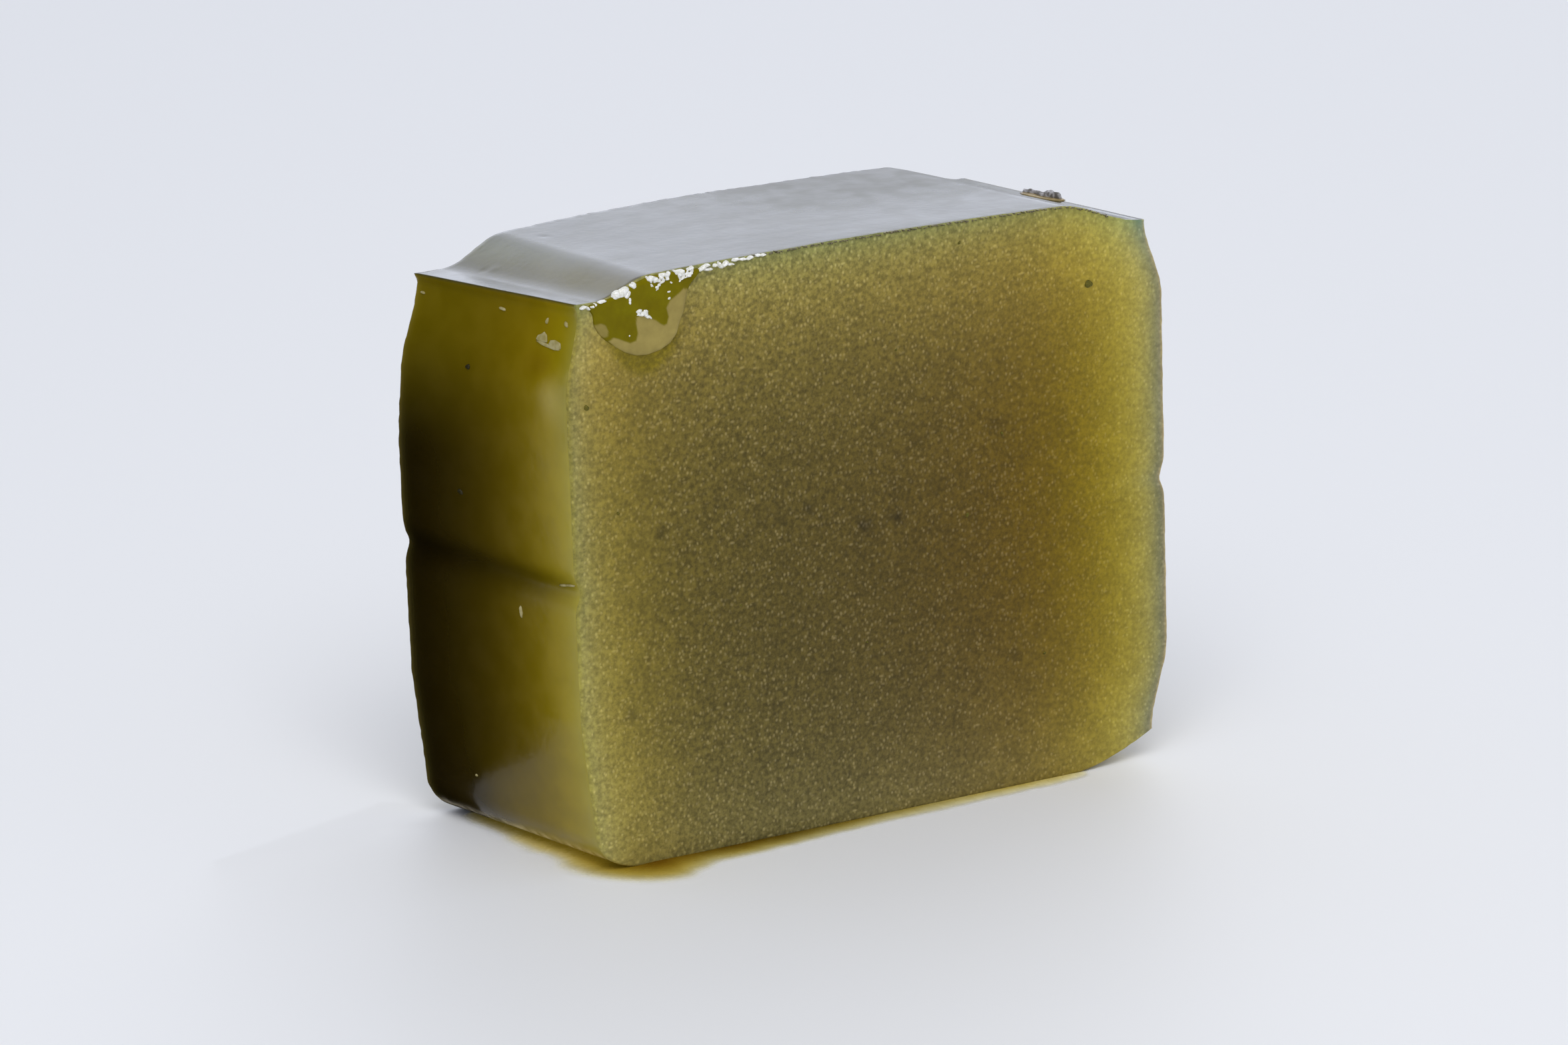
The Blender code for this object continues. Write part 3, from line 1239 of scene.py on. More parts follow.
@dataclass
class SyrupRun:
    """Syrup that ran over the top edge and down the front cut, with a pale crescent of painted highlight in
    it.

    Outlines are across and height, and lengths are in millimetres. The curl is a small patch of the same
    highlight.
    """

    body: SliceBody
    outline: Outline = (
        (-4.3, 40.25), (-3.85, 39.6), (-3.72, 38.73), (-3.23, 38.0), (-2.7, 37.57), (-2.09, 37.12),
        (-1.33, 36.61), (-0.41, 36.26), (0.51, 36.2), (1.47, 36.4), (2.26, 36.78), (2.8, 37.38),
        (3.04, 38.16), (3.35, 38.81), (3.53, 39.61), (3.65, 40.27), (4.0, 40.9), (4.9, 41.6),
        (3.6, 41.72), (2.1, 41.70), (1.2, 41.68), (0.5, 41.60), (0.0, 41.45), (-0.6, 41.28),
        (-1.3, 40.98), (-2.2, 40.62), (-3.2, 40.38),
    )
    crescent: Outline = (
        (-2.62, 37.6), (-2.17, 37.19), (-1.33, 36.64), (-0.41, 36.2), (0.51, 36.1), (1.44, 36.3), (2.3, 36.7),
        (2.9, 37.3), (3.15, 38.1), (3.45, 38.8), (3.6, 39.62), (3.75, 40.3), (3.2, 40.45), (2.85, 40.17),
        (2.15, 39.77), (1.87, 39.3), (2.04, 38.67), (1.91, 38.21), (1.68, 38.11), (1.37, 38.28),
        (1.06, 38.53), (0.71, 38.71), (0.07, 39.01), (-0.47, 39.01), (-0.52, 38.55), (-0.38, 37.85),
        (-0.53, 37.36), (-0.99, 37.26), (-1.48, 37.47), (-1.93, 37.69), (-2.31, 37.82),
    )
    curl: Outline = (
        (-3.80, 38.83), (-3.29, 38.93), (-2.92, 38.75), (-2.72, 38.32), (-2.77, 37.99), (-3.0, 37.9),
        (-3.3, 38.1), (-3.6, 38.45),
    )
    curl_share: float = 0.75
    clear: Colour = (0.185, 0.156, 0.0005)
    deep: Colour = (0.160, 0.128, 0.0005)
    cloud_size: float = 0.9
    cloud_seed: int = 5
    # Pale colour of the crescent and the curl: painted highlight.
    painted_highlight: Colour = (0.36, 0.285, 0.085)
    highlight_edge: float = 0.07
    thin: float = 0.12
    thin_size: float = 0.5
    thin_seed: int = 9
    rise: float = 0.2
    rim: float = 0.4

    def piece(self, look: bpy.types.Material) -> Piece:
        """The run as a domed film: clear olive, a little deeper in places, with the crescent and its curl.

        Args:
            look: Its material.

        Returns:
            The piece, with its tone.
        """
        daub = Daub(Face.FRONT, self.outline, self.rise, self.rim, sink=0.2, grid=80, soften=4.0)
        made = Daubs("syrup_run", self.body, [daub])
        piece = made.piece(look)
        across, height = made.places[0] / MM, made.places[1] / MM
        crescent = eased(0.5 + within(across, height, self.crescent) / (2.0 * self.highlight_edge))
        curl = eased(0.5 + within(across, height, self.curl) / (2.0 * self.highlight_edge))
        painted_highlight = np.maximum(crescent, self.curl_share * curl)[:, None]
        cloud = eased(0.5 + 0.5 * SoftNoise(self.cloud_seed).at(across, height, self.cloud_size))[:, None]
        film = mixed(np.array(self.clear), np.array(self.deep), cloud)
        thinning = eased(0.5 + 0.5 * SoftNoise(self.thin_seed).at(across, height, self.thin_size))
        thick = 1.0 - self.thin * thinning[:, None]
        piece.tones["syrup_tone"] = mixed(film, thick * np.array(self.painted_highlight), painted_highlight)
        return piece


@dataclass
class PaintedGlints:
    """Painted glints where syrup and knife met: short white strokes along the front top edge and in the syrup.

    Attributes:
        body: The slice.
        strokes: Across, height, half length, half width and tilt of each, in millimetres and degrees.
        patches: Outlines of the larger patches, as across and height in millimetres.
        rise: How far both stand out, in millimetres.
        uneven: Lumps of the patches, and the size of those.
    """

    body: SliceBody
    strokes: tuple[tuple[float, float, float, float, float], ...] = (
        (-4.57, 40.18, 0.22, 0.12, 26), (-4.23, 40.10, 0.21, 0.10, -47), (-3.89, 40.14, 0.20, 0.12, 5),
        (-3.63, 40.24, 0.14, 0.10, 42), (-3.13, 40.38, 0.38, 0.07, 12), (-2.00, 40.62, 0.41, 0.37, 38),
        (-1.41, 40.79, 0.58, 0.37, 30), (-1.17, 40.59, 0.39, 0.25, 38), (-1.01, 40.16, 0.33, 0.15, -87),
        (-0.70, 41.10, 0.21, 0.17, -47), (-0.58, 41.20, 0.23, 0.10, -84), (0.50, 41.45, 0.24, 0.14, -60),
        (0.72, 41.02, 0.22, 0.13, -52), (1.15, 40.72, 0.20, 0.12, 50), (2.05, 41.55, 0.26, 0.12, 60),
        (2.24, 41.02, 0.14, 0.10, -37), (2.66, 41.62, 0.22, 0.13, -74), (2.95, 41.05, 0.18, 0.11, 40),
        (3.95, 41.72, 0.20, 0.11, 60), (4.77, 41.62, 0.36, 0.15, 24), (5.19, 41.78, 0.24, 0.12, 6),
        (5.22, 41.50, 0.46, 0.10, -1), (5.84, 41.70, 0.18, 0.12, 24),
        (6.22, 41.64, 0.30, 0.15, -58), (6.62, 41.68, 0.32, 0.15, 42), (7.05, 41.62, 0.34, 0.09, -1),
        (7.48, 41.86, 0.33, 0.10, 13), (8.02, 41.82, 0.31, 0.09, 7), (8.57, 41.84, 0.32, 0.09, 15),
        (9.27, 41.92, 0.31, 0.09, 4), (9.67, 41.90, 0.24, 0.07, 16), (0.62, 38.80, 0.16, 0.10, -50),
        (2.09, 40.40, 0.17, 0.10, 3), (2.09, 39.93, 0.17, 0.15, -2), (-1.05, 37.78, 0.08, 0.09, -46),
    )
    patches: tuple[Outline, ...] = (
        (
            (0.45, 41.56), (0.76, 41.67), (1.18, 41.52), (1.39, 41.69), (1.91, 41.71), (2.20, 41.54),
            (2.11, 41.25), (1.69, 41.12), (1.38, 40.80), (1.07, 40.66), (0.82, 40.97), (0.55, 41.19),
        ),
        (
            (2.65, 41.76), (3.20, 41.79), (3.46, 41.61), (3.67, 41.80), (3.99, 41.82), (4.09, 41.44),
            (3.82, 41.20), (3.57, 41.14), (3.15, 41.11), (2.90, 41.01), (2.73, 41.35),
        ),
        (
            (-0.62, 39.42), (-0.29, 39.54), (0.33, 39.42), (0.66, 39.14), (0.72, 38.80), (0.43, 38.70),
            (0.12, 38.94), (-0.29, 39.00), (-0.60, 39.12),
        ),
    )
    rise: float = 0.26
    uneven: tuple[float, float] = (0.55, 0.16)

    def piece(self, look: bpy.types.Material) -> Piece:
        """The strokes and the patches as one piece, each an uneven cushion.

        Args:
            look: Its material.

        Returns:
            The piece.
        """
        daubs = []
        for number, (across, height, long, wide, tilt) in enumerate(self.strokes):
            outline = rounded(across, height, (long, wide), tilt, number)
            daubs.append(Daub(Face.FRONT, outline, self.rise, rim=wide, sink=0.2, grid=9, soften=20.0))
        for patch in self.patches:
            daubs.append(Daub(Face.FRONT, patch, self.rise, 0.16, 0.2, 26, 5.0, *self.uneven))
        return Daubs("syrup_glints", self.body, daubs).piece(look)


@dataclass
class EdgeCrumbs:
    """Dark ragged crumbs that the knife left along the front top edge.

    Attributes:
        body: The slice.
        start: Across of the first, in millimetres.
        end: Across of the last.
        count: How many there are.
        seed: Start of their random draw.
    """

    body: SliceBody
    start: float = 9.0
    end: float = 38.5
    count: int = 90
    seed: int = 21

    def piece(self, look: bpy.types.Material) -> Piece:
        """The crumbs as one piece of small flat ovals, scattered evenly but for a random shift.

        Args:
            look: Its material.

        Returns:
            The piece.
        """
        draw = np.random.default_rng(self.seed)
        across = np.linspace(self.start, self.end, self.count) + draw.uniform(-0.12, 0.12, self.count)
        section = self.body.section
        right_lip = section.right_side(np.float64(section.right_top_height))
        top = section.top_height(right_lip - across * MM, np.float64(0.0)) / MM
        long, wide = draw.uniform(0.07, 0.24, self.count), draw.uniform(0.03, 0.06, self.count)
        down, tilt = draw.uniform(0.03, 0.13, self.count), draw.uniform(-14.0, 14.0, self.count)
        rows = np.column_stack([across, top - down, long, wide, tilt]).tolist()
        daubs = []
        for number, (first, second, half_long, half_wide, turn) in enumerate(rows):
            outline = rounded(first, second, (half_long, half_wide), turn, number)
            daubs.append(Daub(Face.FRONT, outline, rise=0.07, rim=0.05, sink=0.25, grid=7, soften=20.0))
        return Daubs("edge_crumbs", self.body, daubs).piece(look)


@dataclass
class SideDrops:
    """Syrup drops and smears on the left side, and the bright sliver along its crease, painted pale as
    highlights.

    A drop is depth, height, half length, half width and tilt, and a smear an outline of depth and height, in
    millimetres and degrees.
    """

    body: SliceBody
    drops: tuple[tuple[float, float, float, float, float], ...] = (
        (16.7, 38.05, 0.24, 0.09, 5.0), (8.0, 38.6, 0.36, 0.11, 5.0), (3.2, 38.7, 0.22, 0.15, -60.0),
        (1.2, 38.85, 0.24, 0.14, 40.0), (5.65, 17.85, 0.50, 0.13, 85.0), (1.35, 20.62, 1.20, 0.10, -12.0),
        (12.0, 4.3, 0.12, 0.09, 0.0),
    )
    smears: tuple[Outline, ...] = (
        ((1.35, 37.15), (1.5, 37.5), (2.1, 37.62), (2.6, 37.5), (2.75, 37.2), (2.2, 37.05), (1.7, 37.02)),
        ((2.85, 37.3), (3.0, 37.75), (3.35, 37.95), (3.6, 37.75), (3.95, 37.6), (4.1, 37.3), (3.5, 37.2)),
        ((1.2, 37.05), (1.8, 37.18), (2.8, 37.22), (4.0, 37.32), (4.15, 37.18), (3.0, 37.0), (1.9, 36.95)),
    )
    rise: float = 0.09
    smear_rise: float = 0.07

    def piece(self, look: bpy.types.Material) -> Piece:
        """The drops and the smears as one piece.

        Args:
            look: Its material.

        Returns:
            The piece.
        """
        daubs = []
        for number, (depth, height, long, wide, tilt) in enumerate(self.drops):
            outline = rounded(depth, height, (long, wide), tilt, number + 50)
            daubs.append(Daub(Face.LEFT, outline, self.rise, rim=wide, sink=0.12, grid=10))
        for smear in self.smears:
            daubs.append(Daub(Face.LEFT, smear, self.smear_rise, rim=0.14, sink=0.12, grid=16, soften=6.0))
        return Daubs("side_drops", self.body, daubs).piece(look)


@dataclass
class SkinSpecks:
    """Dark bits of bean skin in the front cut and on the left side.

    Each is across or depth, height, half length and half width, in millimetres. Each is turned from the last.
    """

    body: SliceBody
    in_cut: tuple[tuple[float, float, float, float], ...] = (
        (36.9, 36.2, 0.36, 0.30), (-4.3, 33.2, 0.18, 0.22), (25.8, 40.6, 0.15, 0.11),
        (26.7, 20.9, 0.20, 0.14), (29.6, 26.4, 0.12, 0.10), (11.2, 30.1, 0.11, 0.09),
        (18.3, 13.0, 0.12, 0.09),
        (7.9, 17.4, 0.10, 0.10), (33.5, 9.6, 0.13, 0.09), (20.6, 33.7, 0.10, 0.09), (-1.9, 25.5, 0.10, 0.12),
    )
    on_side: tuple[tuple[float, float, float, float], ...] = (
        (10.5, 34.2, 0.24, 0.18), (11.3, 25.2, 0.30, 0.17),
    )
    turn: float = 25.0
    rise: float = 0.09

    def specks(self, name: str, face: Face, look: bpy.types.Material) -> Piece:
        """The specks of one face as one piece, each an uneven oval just proud of it.

        Args:
            name: Name of the piece.
            face: The face that they lie in.
            look: Their material.

        Returns:
            The piece.
        """
        daubs = []
        specks = self.in_cut if face is Face.FRONT else self.on_side
        for number, (first, second, long, wide) in enumerate(specks):
            outline = rounded(first, second, (long, wide), self.turn * number, number + 80)
            daubs.append(Daub(face, outline, self.rise, rim=0.1, sink=0.12, grid=8, soften=20.0))
        return Daubs(name, self.body, daubs).piece(look)


@dataclass
class TornFlake:
    """A torn flake of skin that lies on the top near the right end, ragged and dark, on an amber smear.

    Outlines are across and depth, in millimetres, and rises are in millimetres.
    """

    body: SliceBody
    flake: Outline = (
        (41.3, 11.4), (41.6, 11.6), (41.9, 11.1), (41.9, 10.3), (42.1, 9.5), (42.0, 8.6), (41.9, 8.0),
        (41.6, 8.1), (41.5, 8.9), (41.3, 9.6), (41.5, 10.4),
    )
    smear: Outline = (
        (40.8, 10.9), (41.3, 11.6), (41.9, 11.3), (42.2, 9.6), (42.1, 7.9), (41.5, 7.6), (41.0, 8.4),
        (40.9, 9.8),
    )
    flake_rise: float = 0.36
    smear_rise: float = 0.09

    def piece(self, look: bpy.types.Material) -> Piece:
        """The flake as one uneven cushion."""
        daub = Daub(Face.TOP, self.flake, self.flake_rise, 0.2, 0.1, 30, 5.0, lumps=0.6, lump_size=0.4)
        return Daubs("torn_flake", self.body, [daub]).piece(look)

    def smear_piece(self, look: bpy.types.Material) -> Piece:
        """The amber smear as one low cushion under the flake."""
        daub = Daub(Face.TOP, self.smear, self.smear_rise, 0.4, 0.1, grid=20, soften=10.0, lumps=0.2)
        return Daubs("flake_smear", self.body, [daub]).piece(look)


@dataclass
class FootMoisture:
    """Amber moisture drawn out from under the slice onto what it stands on, thin and clear at its rim.

    Attributes:
        body: The slice.
        path: Across, depth and width of the wet rim in turn, in millimetres, from the back left to the right,
            how strongly it tints there, how much painted contact shadow it holds, and the share of seeping
            light.
        floor: Tone of what it lies on.
        taken: How much of each colour the moisture takes at full strength, as the power of e.
        seep: Painted glow of light that comes down through the slice's rounded foot into the moisture under
            it.
        seep_reach: How far out that light goes.
        seep_fade: Over what distance it fades.
        tint_power: How fast the tint falls off towards the rim.
        shade_from: What is left of the width where the shade starts.
        shade_power: How fast the shade gains from there.
        streaks: Share by which the tint is uneven, for each of two sizes of streak.
        tuck: How far it goes in under the slice.
        thick: Its greatest height over the film at its rim.
        film: Height of that film.
        sunk: How far its hidden side lies under the floor.
        end_run: Length over which each end fades out.
        along: Points along it.
        over: Points across it, which crowd towards its rim.
        crowding: How much they do.
        smoothing: Points of the millimetre over which its path is smoothed.
        seed: Start of its random draw.
    """

    body: SliceBody
    path: tuple[tuple[float, float, float, float, float, float], ...] = (
        (0.2, 17.2, 2.2, 0.3, 0.0, 0.1), (0.1, 14.0, 3.4, 0.7, 0.0, 0.5), (0.0, 9.0, 4.0, 0.9, 0.05, 0.8),
        (0.0, 5.0, 4.6, 1.0, 0.2, 1.0), (0.0, 2.4, 5.5, 1.15, 1.1, 1.0), (0.15, 0.8, 6.0, 1.45, 1.8, 0.3),
        (0.9, 0.1, 5.8, 1.4, 1.35, 0.0), (2.2, 0.0, 3.9, 1.0, 1.2, 0.0), (4.5, 0.0, 2.7, 0.9, 1.4, 0.0),
        (6.5, 0.0, 2.6, 1.0, 1.6, 0.0), (11.5, 0.0, 2.3, 0.95, 1.8, 0.0), (19.0, 0.0, 2.1, 0.5, 1.0, 0.0),
        (27.0, 0.0, 1.8, 0.42, 0.5, 0.0), (34.0, 0.0, 1.6, 0.4, 0.3, 0.0), (36.5, 0.0, 1.1, 0.25, 0.15, 0.0),
        (38.0, 0.2, 0.6, 0.12, 0.05, 0.0),
    )
    floor: Colour = (0.95, 0.96, 0.98)
    taken: Colour = (0.6, 1.2, 4.6)
    seep: Colour = (0.080, 0.056, 0.004)
    seep_reach: float = 3.7
    seep_fade: float = 1.2
    tint_power: float = 1.5
    shade_from: float = 0.18
    shade_power: float = 1.2
    streaks: float = 0.10
    tuck: float = 1.2
    thick: float = 0.30
    film: float = 0.012
    sunk: float = 0.02
    end_run: float = 1.5
    along: int = 260
    over: int = 22
    crowding: float = 1.7
    smoothing: int = 9
    seed: int = 11

    def piece(self, look: bpy.types.Material) -> Piece:
        """The rim as a profile carried along its path.

        The profile runs from under the slice out to the rim on top, where the height falls off as the cube of
        what is left, and back again just under the floor. Its tone is the floor's times e to the minus of
        what the moisture takes: a tint that falls off as a power of what is left of the width, and an even
        painted contact shadow close to the slice. The light that seeps into it is an even painted glow that
        fades by an eased ramp.

        Args:
            look: Its material.

        Returns:
            The piece, with its tone and a mask of how wet each point is.
        """
        corners = np.array(self.path)
        length = np.concatenate([[0.0], np.cumsum(np.hypot(*np.diff(corners[:, :2], axis=0).T))])
        run = np.linspace(0.0, length[-1], self.along)
        window = np.linspace(-0.5, 0.5, self.smoothing)
        across, depth, width, tint, shade, light = (
            sum(np.interp(run + w, length, corners[:, i]) for w in window) / self.smoothing for i in range(6)
        )
        out_across, out_depth = np.gradient(depth), -np.gradient(across)
        size = np.hypot(out_across, out_depth)
        out_across, out_depth = out_across / size, out_depth / size
        noise = SoftNoise(self.seed)
        # The width is uneven by a little over short lengths and by more over long ones.
        uneven = 0.06 * noise.at(run, 0.0 * run, 1.3) + 0.12 * noise.at(run, 5.0 + 0.0 * run, 4.7)
        width = width * (1.0 + uneven)
        ends = eased(run / self.end_run) * eased((length[-1] - run) / self.end_run)
        share = 1.0 - (1.0 - np.linspace(0.0, 1.0, self.over)[:, None]) ** self.crowding
        away = mixed(-self.tuck, width[None, :] * ends, share)
        top = self.film + self.thick * (1.0 - share) ** 3 * ends[None, :] + 0.0 * away
        profile_away = np.concatenate([away, away[::-1]])
        profile_height = np.concatenate([top, -self.sunk + 0.0 * top])
        left = 1.0 - np.clip(away / np.maximum(width * ends, 0.01)[None, :], 0.0, 1.0)
        wet = np.concatenate([left, left[::-1]]) * ends[None, :]
        fine, broad = noise.at(run[None, :], 2.0 * away, 1.1), noise.at(run[None, :], away, 3.1)
        streaks = 1.0 + self.streaks * fine + self.streaks * broad
        tinted = (tint * ends)[None, :] * left**self.tint_power * streaks
        close = np.clip((left - self.shade_from) / (1.0 - self.shade_from), 0.0, 1.0)
        shaded = (shade * ends)[None, :] * close**self.shade_power
        power = tinted[..., None] * np.array(self.taken) + shaded[..., None]
        tone = np.array(self.floor) * np.exp(-np.concatenate([power, power[::-1]]))
        count = profile_away.shape[0]
        numbers = np.arange(count * self.along).reshape(count, self.along)
        closed = np.concatenate([numbers, numbers[:1]])
        quads = quads_of(closed)[:, ::-1]
        seen, hidden = numbers[: count // 2], numbers[count // 2 :][::-1]
        caps = [quads_of(np.stack([seen[:, end], hidden[:, end]])) for end in (0, -1)]
        quads = np.concatenate([quads, caps[0], caps[1][:, ::-1]])
        place_across = (across[None, :] + out_across[None, :] * profile_away) * MM
        place_depth = (depth[None, :] + out_depth[None, :] * profile_away) * MM
        points = self.body.set_out(place_across.ravel(), profile_height.ravel() * MM, place_depth.ravel())
        seeping = light[None, :] * eased((self.seep_reach - profile_away) / self.seep_fade)
        glow = seeping[..., None] * np.array(self.seep)
        tones = {"moisture_tone": tone.reshape(-1, 3), "moisture_glow": glow.reshape(-1, 3)}
        return Piece("foot_moisture", points, quads, [look], masks={"wet": wet.ravel()}, tones=tones)


# --- finishes


class Sheet:
    """A node tree that is filled in from left to right by short calls."""

    def __init__(self, tree: bpy.types.NodeTree) -> None:
        """Takes the tree to fill."""
        self.tree = tree

    def node(self, kind: str, inputs: dict | None = None, **settings: object) -> bpy.types.Node:
        """Adds a node of a kind, sets its own properties and feeds its inputs.

        Args:
            kind: Type of the node.
            inputs: What feeds its inputs, by name or number.
            settings: Its properties, by name.

        Returns:
            The node.
        """
        made = self.tree.nodes.new(kind)
        for name, value in settings.items():
            setattr(made, name, value)
        for name, source in (inputs or {}).items():
            self.feed(made.inputs[name], source)
        return made

    def feed(self, socket: bpy.types.NodeSocket, source: object) -> None:
        """Links a socket to another one, or gives it a plain value.

        Args:
            socket: Input to feed.
            source: A socket, a number or a colour.
        """
        if isinstance(source, bpy.types.NodeSocket):
            self.tree.links.new(source, socket)
        elif isinstance(source, tuple) and len(source) == 3 and len(socket.default_value) == 4:
            socket.default_value = (*source, 1.0)
        else:
            socket.default_value = source

    def maths(self, operation: str, *values: object) -> bpy.types.NodeSocket:
        """One sum, product or other operation on up to three values."""
        return self.node("ShaderNodeMath", dict(enumerate(values)), operation=operation).outputs[0]

    def shaded(self, colour: object, factor: object) -> bpy.types.NodeSocket:
        """A colour times a factor."""
        return self.node("ShaderNodeVectorMath", {0: colour, "Scale": factor}, operation="SCALE").outputs[0]

    def blend(self, low: object, high: object, share: object) -> bpy.types.NodeSocket:
        """A blend of two colours by a share."""
        inputs = {"Factor": share, "A": low, "B": high}
        return self.node("ShaderNodeMix", inputs, data_type="RGBA").outputs["Result"]

    def ranged(self, value: object, *ends: float) -> bpy.types.NodeSocket:
        """A value carried by an eased ramp from its own range to another, given as four ends."""
        inputs = dict(zip(("Value", "From Min", "From Max", "To Min", "To Max"), (value, *ends)))
        return self.node("ShaderNodeMapRange", inputs, interpolation_type="SMOOTHSTEP").outputs["Result"]

    def mask(self, name: str) -> bpy.types.NodeSocket:
        """The value of a named mask on the surface."""
        return self.node("ShaderNodeAttribute", attribute_name=name).outputs["Fac"]

    def tone(self, name: str) -> bpy.types.NodeSocket:
        """The colour of a named tone on the surface."""
        return self.node("ShaderNodeAttribute", attribute_name=name).outputs["Color"]

    def objects(self) -> bpy.types.NodeSocket:
        """Object coordinates."""
        return self.node("ShaderNodeTexCoord").outputs["Object"]


class Socket(Enum):
    """Kinds of socket that a shared effect has."""

    VALUE = "NodeSocketFloat"
    VECTOR = "NodeSocketVector"


Sockets = dict[str, Socket]


def shared_effect(name: str, takes: Sockets, gives: Sockets) -> tuple[bpy.types.NodeTree, Sheet]:
    """Starts a shader node group.

    Args:
        name: Name of the group.
        takes: Its inputs, by name.
        gives: Its outputs, by name.

    Returns:
        The group, and the sheet that fills it.
    """
    group = bpy.data.node_groups.new(name, "ShaderNodeTree")
    for label, kind in takes.items():
        group.interface.new_socket(name=label, in_out="INPUT", socket_type=kind.value)
    for label, kind in gives.items():
        group.interface.new_socket(name=label, in_out="OUTPUT", socket_type=kind.value)
    return group, Sheet(group)


# Each layer of flecks: its size, turn and stretch, and the random share from which its flecks are lit.
FLECK_LAYERS = ((1.0, 0.5, (1.0, 1.0, 0.8), 0.1), (1.7, -0.9, (0.55, 1.0, 1.0), 0.5))
# Distances at which a fleck starts to fade and is gone, and the random share that lights it fully.
FLECK_CORE, FLECK_EDGE, FLECK_FULL = 0.05, 0.55, 1.1
# The uneven shade: the scale of its noise, the span of that noise, and the factors that the span stands for.
SHADE_SCALE, SHADE_SPAN, SHADE_FACTORS = 0.85, (0.28, 0.72), (0.59, 1.31)


class JellyEffects:
    """Effects that finishes share: the grain of the bean paste."""

    def __init__(self) -> None:
        """Builds each group once."""
        self.grain_group = self.bean_grain()

    def bean_grain(self) -> bpy.types.NodeTree:
        """Grain of bean paste: fine uneven shade, and short flecks turned two ways.

        Each layer of flecks is a stretched Voronoi pattern whose cells are lit by their own random share.

        Returns:
            A group that takes coordinates and a size, and gives a shade about 1, a mask and a height.
        """
        takes = {"Vector": Socket.VECTOR, "Size": Socket.VALUE}
        gives = {"Shade": Socket.VALUE, "Flecks": Socket.VALUE, "Height": Socket.VALUE}
        group, sheet = shared_effect("bean_grain", takes, gives)
        start, end = sheet.node("NodeGroupInput"), sheet.node("NodeGroupOutput")
        scale = sheet.maths("DIVIDE", 1.0, start.outputs["Size"])
        flecks = []
        for size, turn, stretch, least in FLECK_LAYERS:
            turned = {"Vector": start.outputs["Vector"], "Rotation": (0.0, turn, 0.3), "Scale": stretch}
            pattern = sheet.node("ShaderNodeMapping", turned).outputs["Vector"]
            divided = {"Vector": pattern, "Scale": sheet.maths("DIVIDE", scale, size)}
            cells = sheet.node("ShaderNodeTexVoronoi", divided)
            dot = sheet.ranged(cells.outputs["Distance"], FLECK_CORE, FLECK_EDGE / size, 1.0, 0.0)
            split = sheet.node("ShaderNodeSeparateColor", {"Color": cells.outputs["Color"]})
            lit = sheet.ranged(split.outputs["Red"], least, FLECK_FULL, 0.0, 1.0)
            flecks.append(sheet.maths("MULTIPLY", dot, lit))
        clouded = {"Vector": start.outputs["Vector"], "Scale": sheet.maths("MULTIPLY", scale, SHADE_SCALE)}
        cloud = sheet.node("ShaderNodeTexNoise", {**clouded, "Detail": 3.0, "Roughness": 0.65})
        sheet.feed(end.inputs["Shade"], sheet.ranged(cloud.outputs["Fac"], *SHADE_SPAN, *SHADE_FACTORS))
        sheet.feed(end.inputs["Flecks"], sheet.maths("MAXIMUM", *flecks))
        sheet.feed(end.inputs["Height"], sheet.maths("ADD", *flecks))
        return group

    def grain(self, sheet: Sheet, size: float) -> bpy.types.Node:
        """Places the grain in a material, with flecks of a size in metres."""
        inputs = {"Vector": sheet.objects(), "Size": size}
        return sheet.node("ShaderNodeGroup", inputs, node_tree=self.grain_group)


# Nearly all of a noise texture's values lie between these.
NOISE_SPAN = (0.3, 0.7)


def principled(name: str) -> tuple[bpy.types.Material, Sheet, bpy.types.Node]:
    """A new material with its node tree and its Principled shader.

    Args:
        name: Name of the material.

    Returns:
        The material, the sheet of its tree and its shader.
    """
    material = bpy.data.materials.new(name)
    material.use_nodes = True
    return material, Sheet(material.node_tree), material.node_tree.nodes["Principled BSDF"]


def noise_of(sheet: Sheet, size: float, detail: float = 2.0) -> bpy.types.NodeSocket:
    """Fractal noise on object coordinates with features of a size in metres."""
    inputs = {"Vector": sheet.objects(), "Scale": 1.0 / size, "Detail": detail}
    return sheet.node("ShaderNodeTexNoise", inputs).outputs["Fac"]


def dented(sheet: Sheet, shader: bpy.types.Node, height: bpy.types.NodeSocket, distance: float) -> None:
    """Turns the shader's normal by a height, through a bump node.

    Args:
        sheet: Sheet of the material.
        shader: Its Principled shader.
        height: The height, from 0 to 1.
        distance: Height that stands for 1, in metres.
    """
    bump = sheet.node("ShaderNodeBump", {"Distance": distance, "Height": height})
    sheet.feed(shader.inputs["Normal"], bump.outputs["Normal"])


def translucent(shader: bpy.types.Node, share: float, radius: Colour, reach: float) -> None:
    """Lets light in under the surface.

    Args:
        shader: The Principled shader.
        share: How much of the colour is light from inside.
        radius: How far each colour of light goes, as a share of the reach.
        reach: How far light goes, in metres.
    """
    shader.inputs["Subsurface Weight"].default_value = share
    shader.inputs["Subsurface Radius"].default_value = radius
    shader.inputs["Subsurface Scale"].default_value = reach


